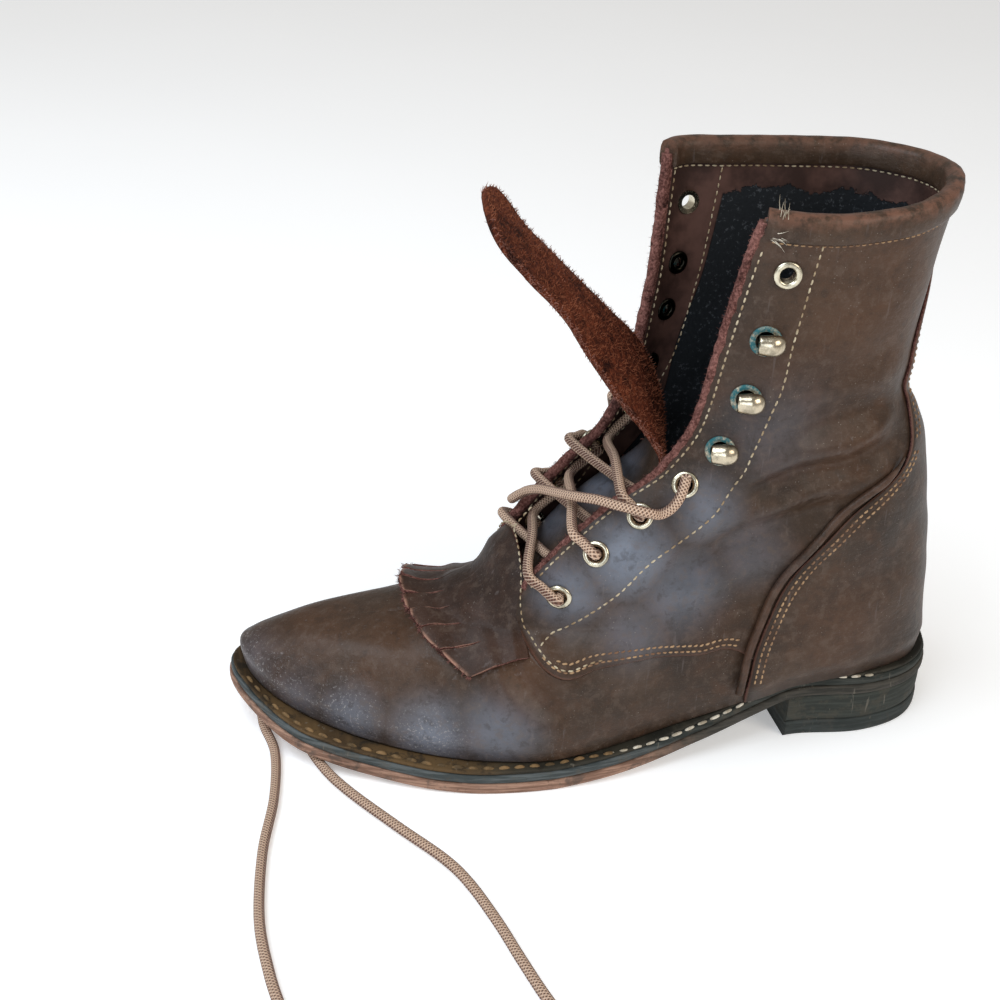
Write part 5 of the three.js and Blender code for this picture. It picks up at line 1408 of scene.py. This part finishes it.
def makeWeltStitches():
    frontWork, waistWork = Patchwork(), Patchwork()
    t = np.linspace(0.13, 0.99, 480)
    fore = np.clip((t - weltSeam["from"]) / weltSeam["over"], 0, 1)
    depth = weltSeam["rim"] + weltSeam["inside"] * fore
    turn = np.sin(np.arccos(1 - 2 * t))
    x = boot["rear"] + depth + t * (boot["length"] - 2 * depth)
    z = weltTop(x) - 0.1 - weltSeam["sink"] * (1 - fore)
    waist = weltSeam["waist"]
    for side in (1, -1):
        line = np.stack([x, centreLine(x) + side * turn * (soleHalf(side, t) - depth), z], -1)
        normals = unit(np.stack([0 * x, side * 1.3 * (1 - fore), 1 + 0 * x], -1))
        stitchInto(waistWork, line[:waist], normals[:waist], 5.4, 4.3, 1.25)
        stitchInto(frontWork, line[waist:], normals[waist:], 5.8, 4.6, 1.7)
    for name, work, finish in (("weltSeam", frontWork, "weltThread"), ("waistSeam", waistWork, "paleThread")):
        outwardFaces(work.make(name, [finishes[finish]]))


makeWeltStitches()
print("seams made")


# Fine fibres: three-sided hairs from points along a line, bent at their middle, in one joined mesh.
def hairs(work, roots, ways, lengths, thick):
    count = len(roots)
    one = unit(np.cross(ways, rng.normal(size=(count, 3))))
    two = np.cross(unit(ways), one)
    lengths = lengths[:, None]
    bend = (one * rng.normal(size=(count, 1)) + two * rng.normal(size=(count, 1))) * lengths * 0.25
    spine = np.stack([roots, roots + ways * lengths * 0.55 + bend * 0.4, roots + ways * lengths + bend], 1)
    sizes = np.array([1.0, 0.8, 0.25])[:, None, None] * thick / 2
    points = spine[:, :, None] + circle(one, two, 3)[:, None] * sizes
    first = np.arange(count)[:, None, None] * 9
    work.triangles.append((np.array([[0, 2, 1], [6, 7, 8]]) + first + work.count()).reshape(-1, 3))
    work.add(points.reshape(-1, 3), (gridFaces(3, 3, True).reshape(-1, 4) + first).reshape(-1, 4))


# Raw edge of the eyestay: a rough bead over the cut edge of the wall, with fibres standing off it.
rawEdge = {"radius": 2.05, "rough": 0.512, "sides": 16, "fibres": 900, "fibreLength": 1.5, "fibreThick": 0.22}


def makeRawEdge(side):
    level = np.linspace(7.75, 14.88, 420)
    middle = (boot["step"] - boot["wall"]) / 2 + 0.15
    path = skinPoint(level, throatAngle(level, side) + side * 0.008, middle)
    work = Patchwork()
    rings, out, run = tubeGrid(path, rawEdge["radius"], rawEdge["sides"])
    rough = swell(rings, 5.5) + swell(rings, 2.6) * 0.9
    rings = rings + out * (rough * rawEdge["rough"])[..., None]
    work.grid(rings, out, around=True, run=run)
    work.make("rawEdge_" + sideWord(side), [finishes["raw"]], weld=tubeWeld, sharp=80)
    many = rawEdge["fibres"]
    pick, spin = rng.integers(2, len(rings) - 2, many), rng.integers(0, rawEdge["sides"], many)
    fuzz = Patchwork()
    ways = unit(out[pick, spin] + rng.normal(size=(many, 3)) * 0.45)
    lengths = rng.uniform(0.4, 1.0, many) * rawEdge["fibreLength"]
    hairs(fuzz, rings[pick, spin] - out[pick, spin] * 0.2, ways, lengths, rawEdge["fibreThick"])
    return fuzz.make("fibres_" + sideWord(side), [finishes["raw"]])


for side in (1, -1):
    makeRawEdge(side)


# Frayed ends of the seam thread at the top corner of the eyestay: level, inset, height off the leather, rise,
# direction and number.
tufts = [(14.7, 5.0, 0.6, 0.0, (-0.9, 0.3, -0.12), 26), (14.98, 6.0, 2.4, 2.0, (0.15, 0.1, 0.95), 9)]


def makeTufts():
    work = Patchwork()
    for level, inset, off, rise, away, count in tufts:
        points, normals = alongThroat(1, inset, level, level + 0.01, boot["step"] + off, 2)
        roots = points[:1] + rng.normal(size=(count, 3)) * [0.7, 0.3, 0.7] + [0, 0, rise]
        ways = unit(np.array(away) + rng.normal(size=(count, 3)) * 0.14 + normals[:1] * 0.12)
        hairs(work, roots, ways, rng.uniform(3.0, 6.0, count), 0.34)
    return work.make("threadTufts", [finishes["paleThread"]])


makeTufts()


def makeTipFibres():  # torn fibres along the fringe's tips
    work = Patchwork()
    many = fringe["fibres"]
    pick = rng.integers(0, kiltPoints.shape[1], many)
    tips, ways = kiltPoints[-1, pick], unit(kiltPoints[-1, pick] - kiltPoints[-4, pick])
    roots = tips - kiltNormals[-1, pick] * rng.uniform(0, fringe["thick"], (many, 1))
    roots = roots + rng.normal(size=(many, 3)) * 0.25
    ways = unit(ways + rng.normal(size=(many, 3)) * 0.6)
    hairs(work, roots - ways * 0.3, ways, rng.uniform(0.7, 2.0, many), 0.3)
    return work.make("fringeFibres", [finishes["raw"]])


makeTipFibres()


# Nap of the tongue: fibres stood off its suede side, paler and thicker along its rim.
nap = {"hairs": 3600, "rimHairs": 2600, "length": 1.7, "thick": 0.3, "fromRow": 48}


def makeNap():
    mesh = flap.data
    place = np.empty(len(mesh.vertices) * 3)
    mesh.vertices.foreach_get("co", place)
    rowCount, columnCount = tongue["rows"], tongue["columns"]
    grid = place.reshape(rowCount, columnCount, 3) * 1000
    upwards, across = unit(np.gradient(grid, axis=0)), unit(np.gradient(grid, axis=1))
    upright = unit(np.cross(upwards, across))
    facing = -np.sign((upright * [1.0, 0, -0.6]).sum(-1, keepdims=True)) * upright
    work = Patchwork()
    many = nap["hairs"]
    i, j = rng.integers(nap["fromRow"], rowCount - 1, many), rng.integers(0, columnCount, many)
    roots = grid[i, j] + facing[i, j] * (tongue["thick"] - 0.15) + rng.normal(size=(many, 3)) * 0.35
    ways = unit(facing[i, j] * 0.8 + upwards[i, j] * 0.3 + rng.normal(size=(many, 3)) * 0.55)
    hairs(work, roots, ways, rng.uniform(0.7, 1.0, many) * nap["length"], nap["thick"])
    made = [work.make("tongueNap", [finishes["nap"]])]
    work = Patchwork()
    many = nap["rimHairs"]
    i = rng.integers(nap["fromRow"], rowCount - 1, many)
    j = np.where(rng.random(many) < 0.5, 0, columnCount - 1)
    outward = np.where((j == 0)[:, None], -across[i, j], across[i, j])
    roots = grid[i, j] + facing[i, j] * rng.uniform(0, tongue["thick"], (many, 1)) - outward * 0.3
    ways = unit(outward * 0.8 + facing[i, j] * 0.5 + rng.normal(size=(many, 3)) * 0.5)
    hairs(work, roots, ways, rng.uniform(0.5, 1.0, many) * nap["length"], nap["thick"])
    return made + [work.make("tongueRimNap", [finishes["napRim"]])]


for piece in makeNap():
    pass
print("raw edges made")

# Floor: it gives a little light of its own, and reaches far enough for the horizon to be as pale.
floorWork = Patchwork()
reach = np.linspace(-30000, 30000, 9)
floorWork.grid(np.stack([*np.meshgrid(reach, reach, indexing="ij"), np.zeros((9, 9))], -1), np.array([0, 0, 1.0]))
pale = Finish("paleFloor", Roughness=0.8, Specular_IOR_Level=0.1, Emission_Color=(1, 1, 1, 1), Emission_Strength=0.3)
paleColour = pale.mix(pale.noise(3.0), (0.86, 0.86, 0.86), (0.9, 0.9, 0.9))
floor = floorWork.make("floor", [pale.out(Base_Color=paleColour)])
del floor["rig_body"]
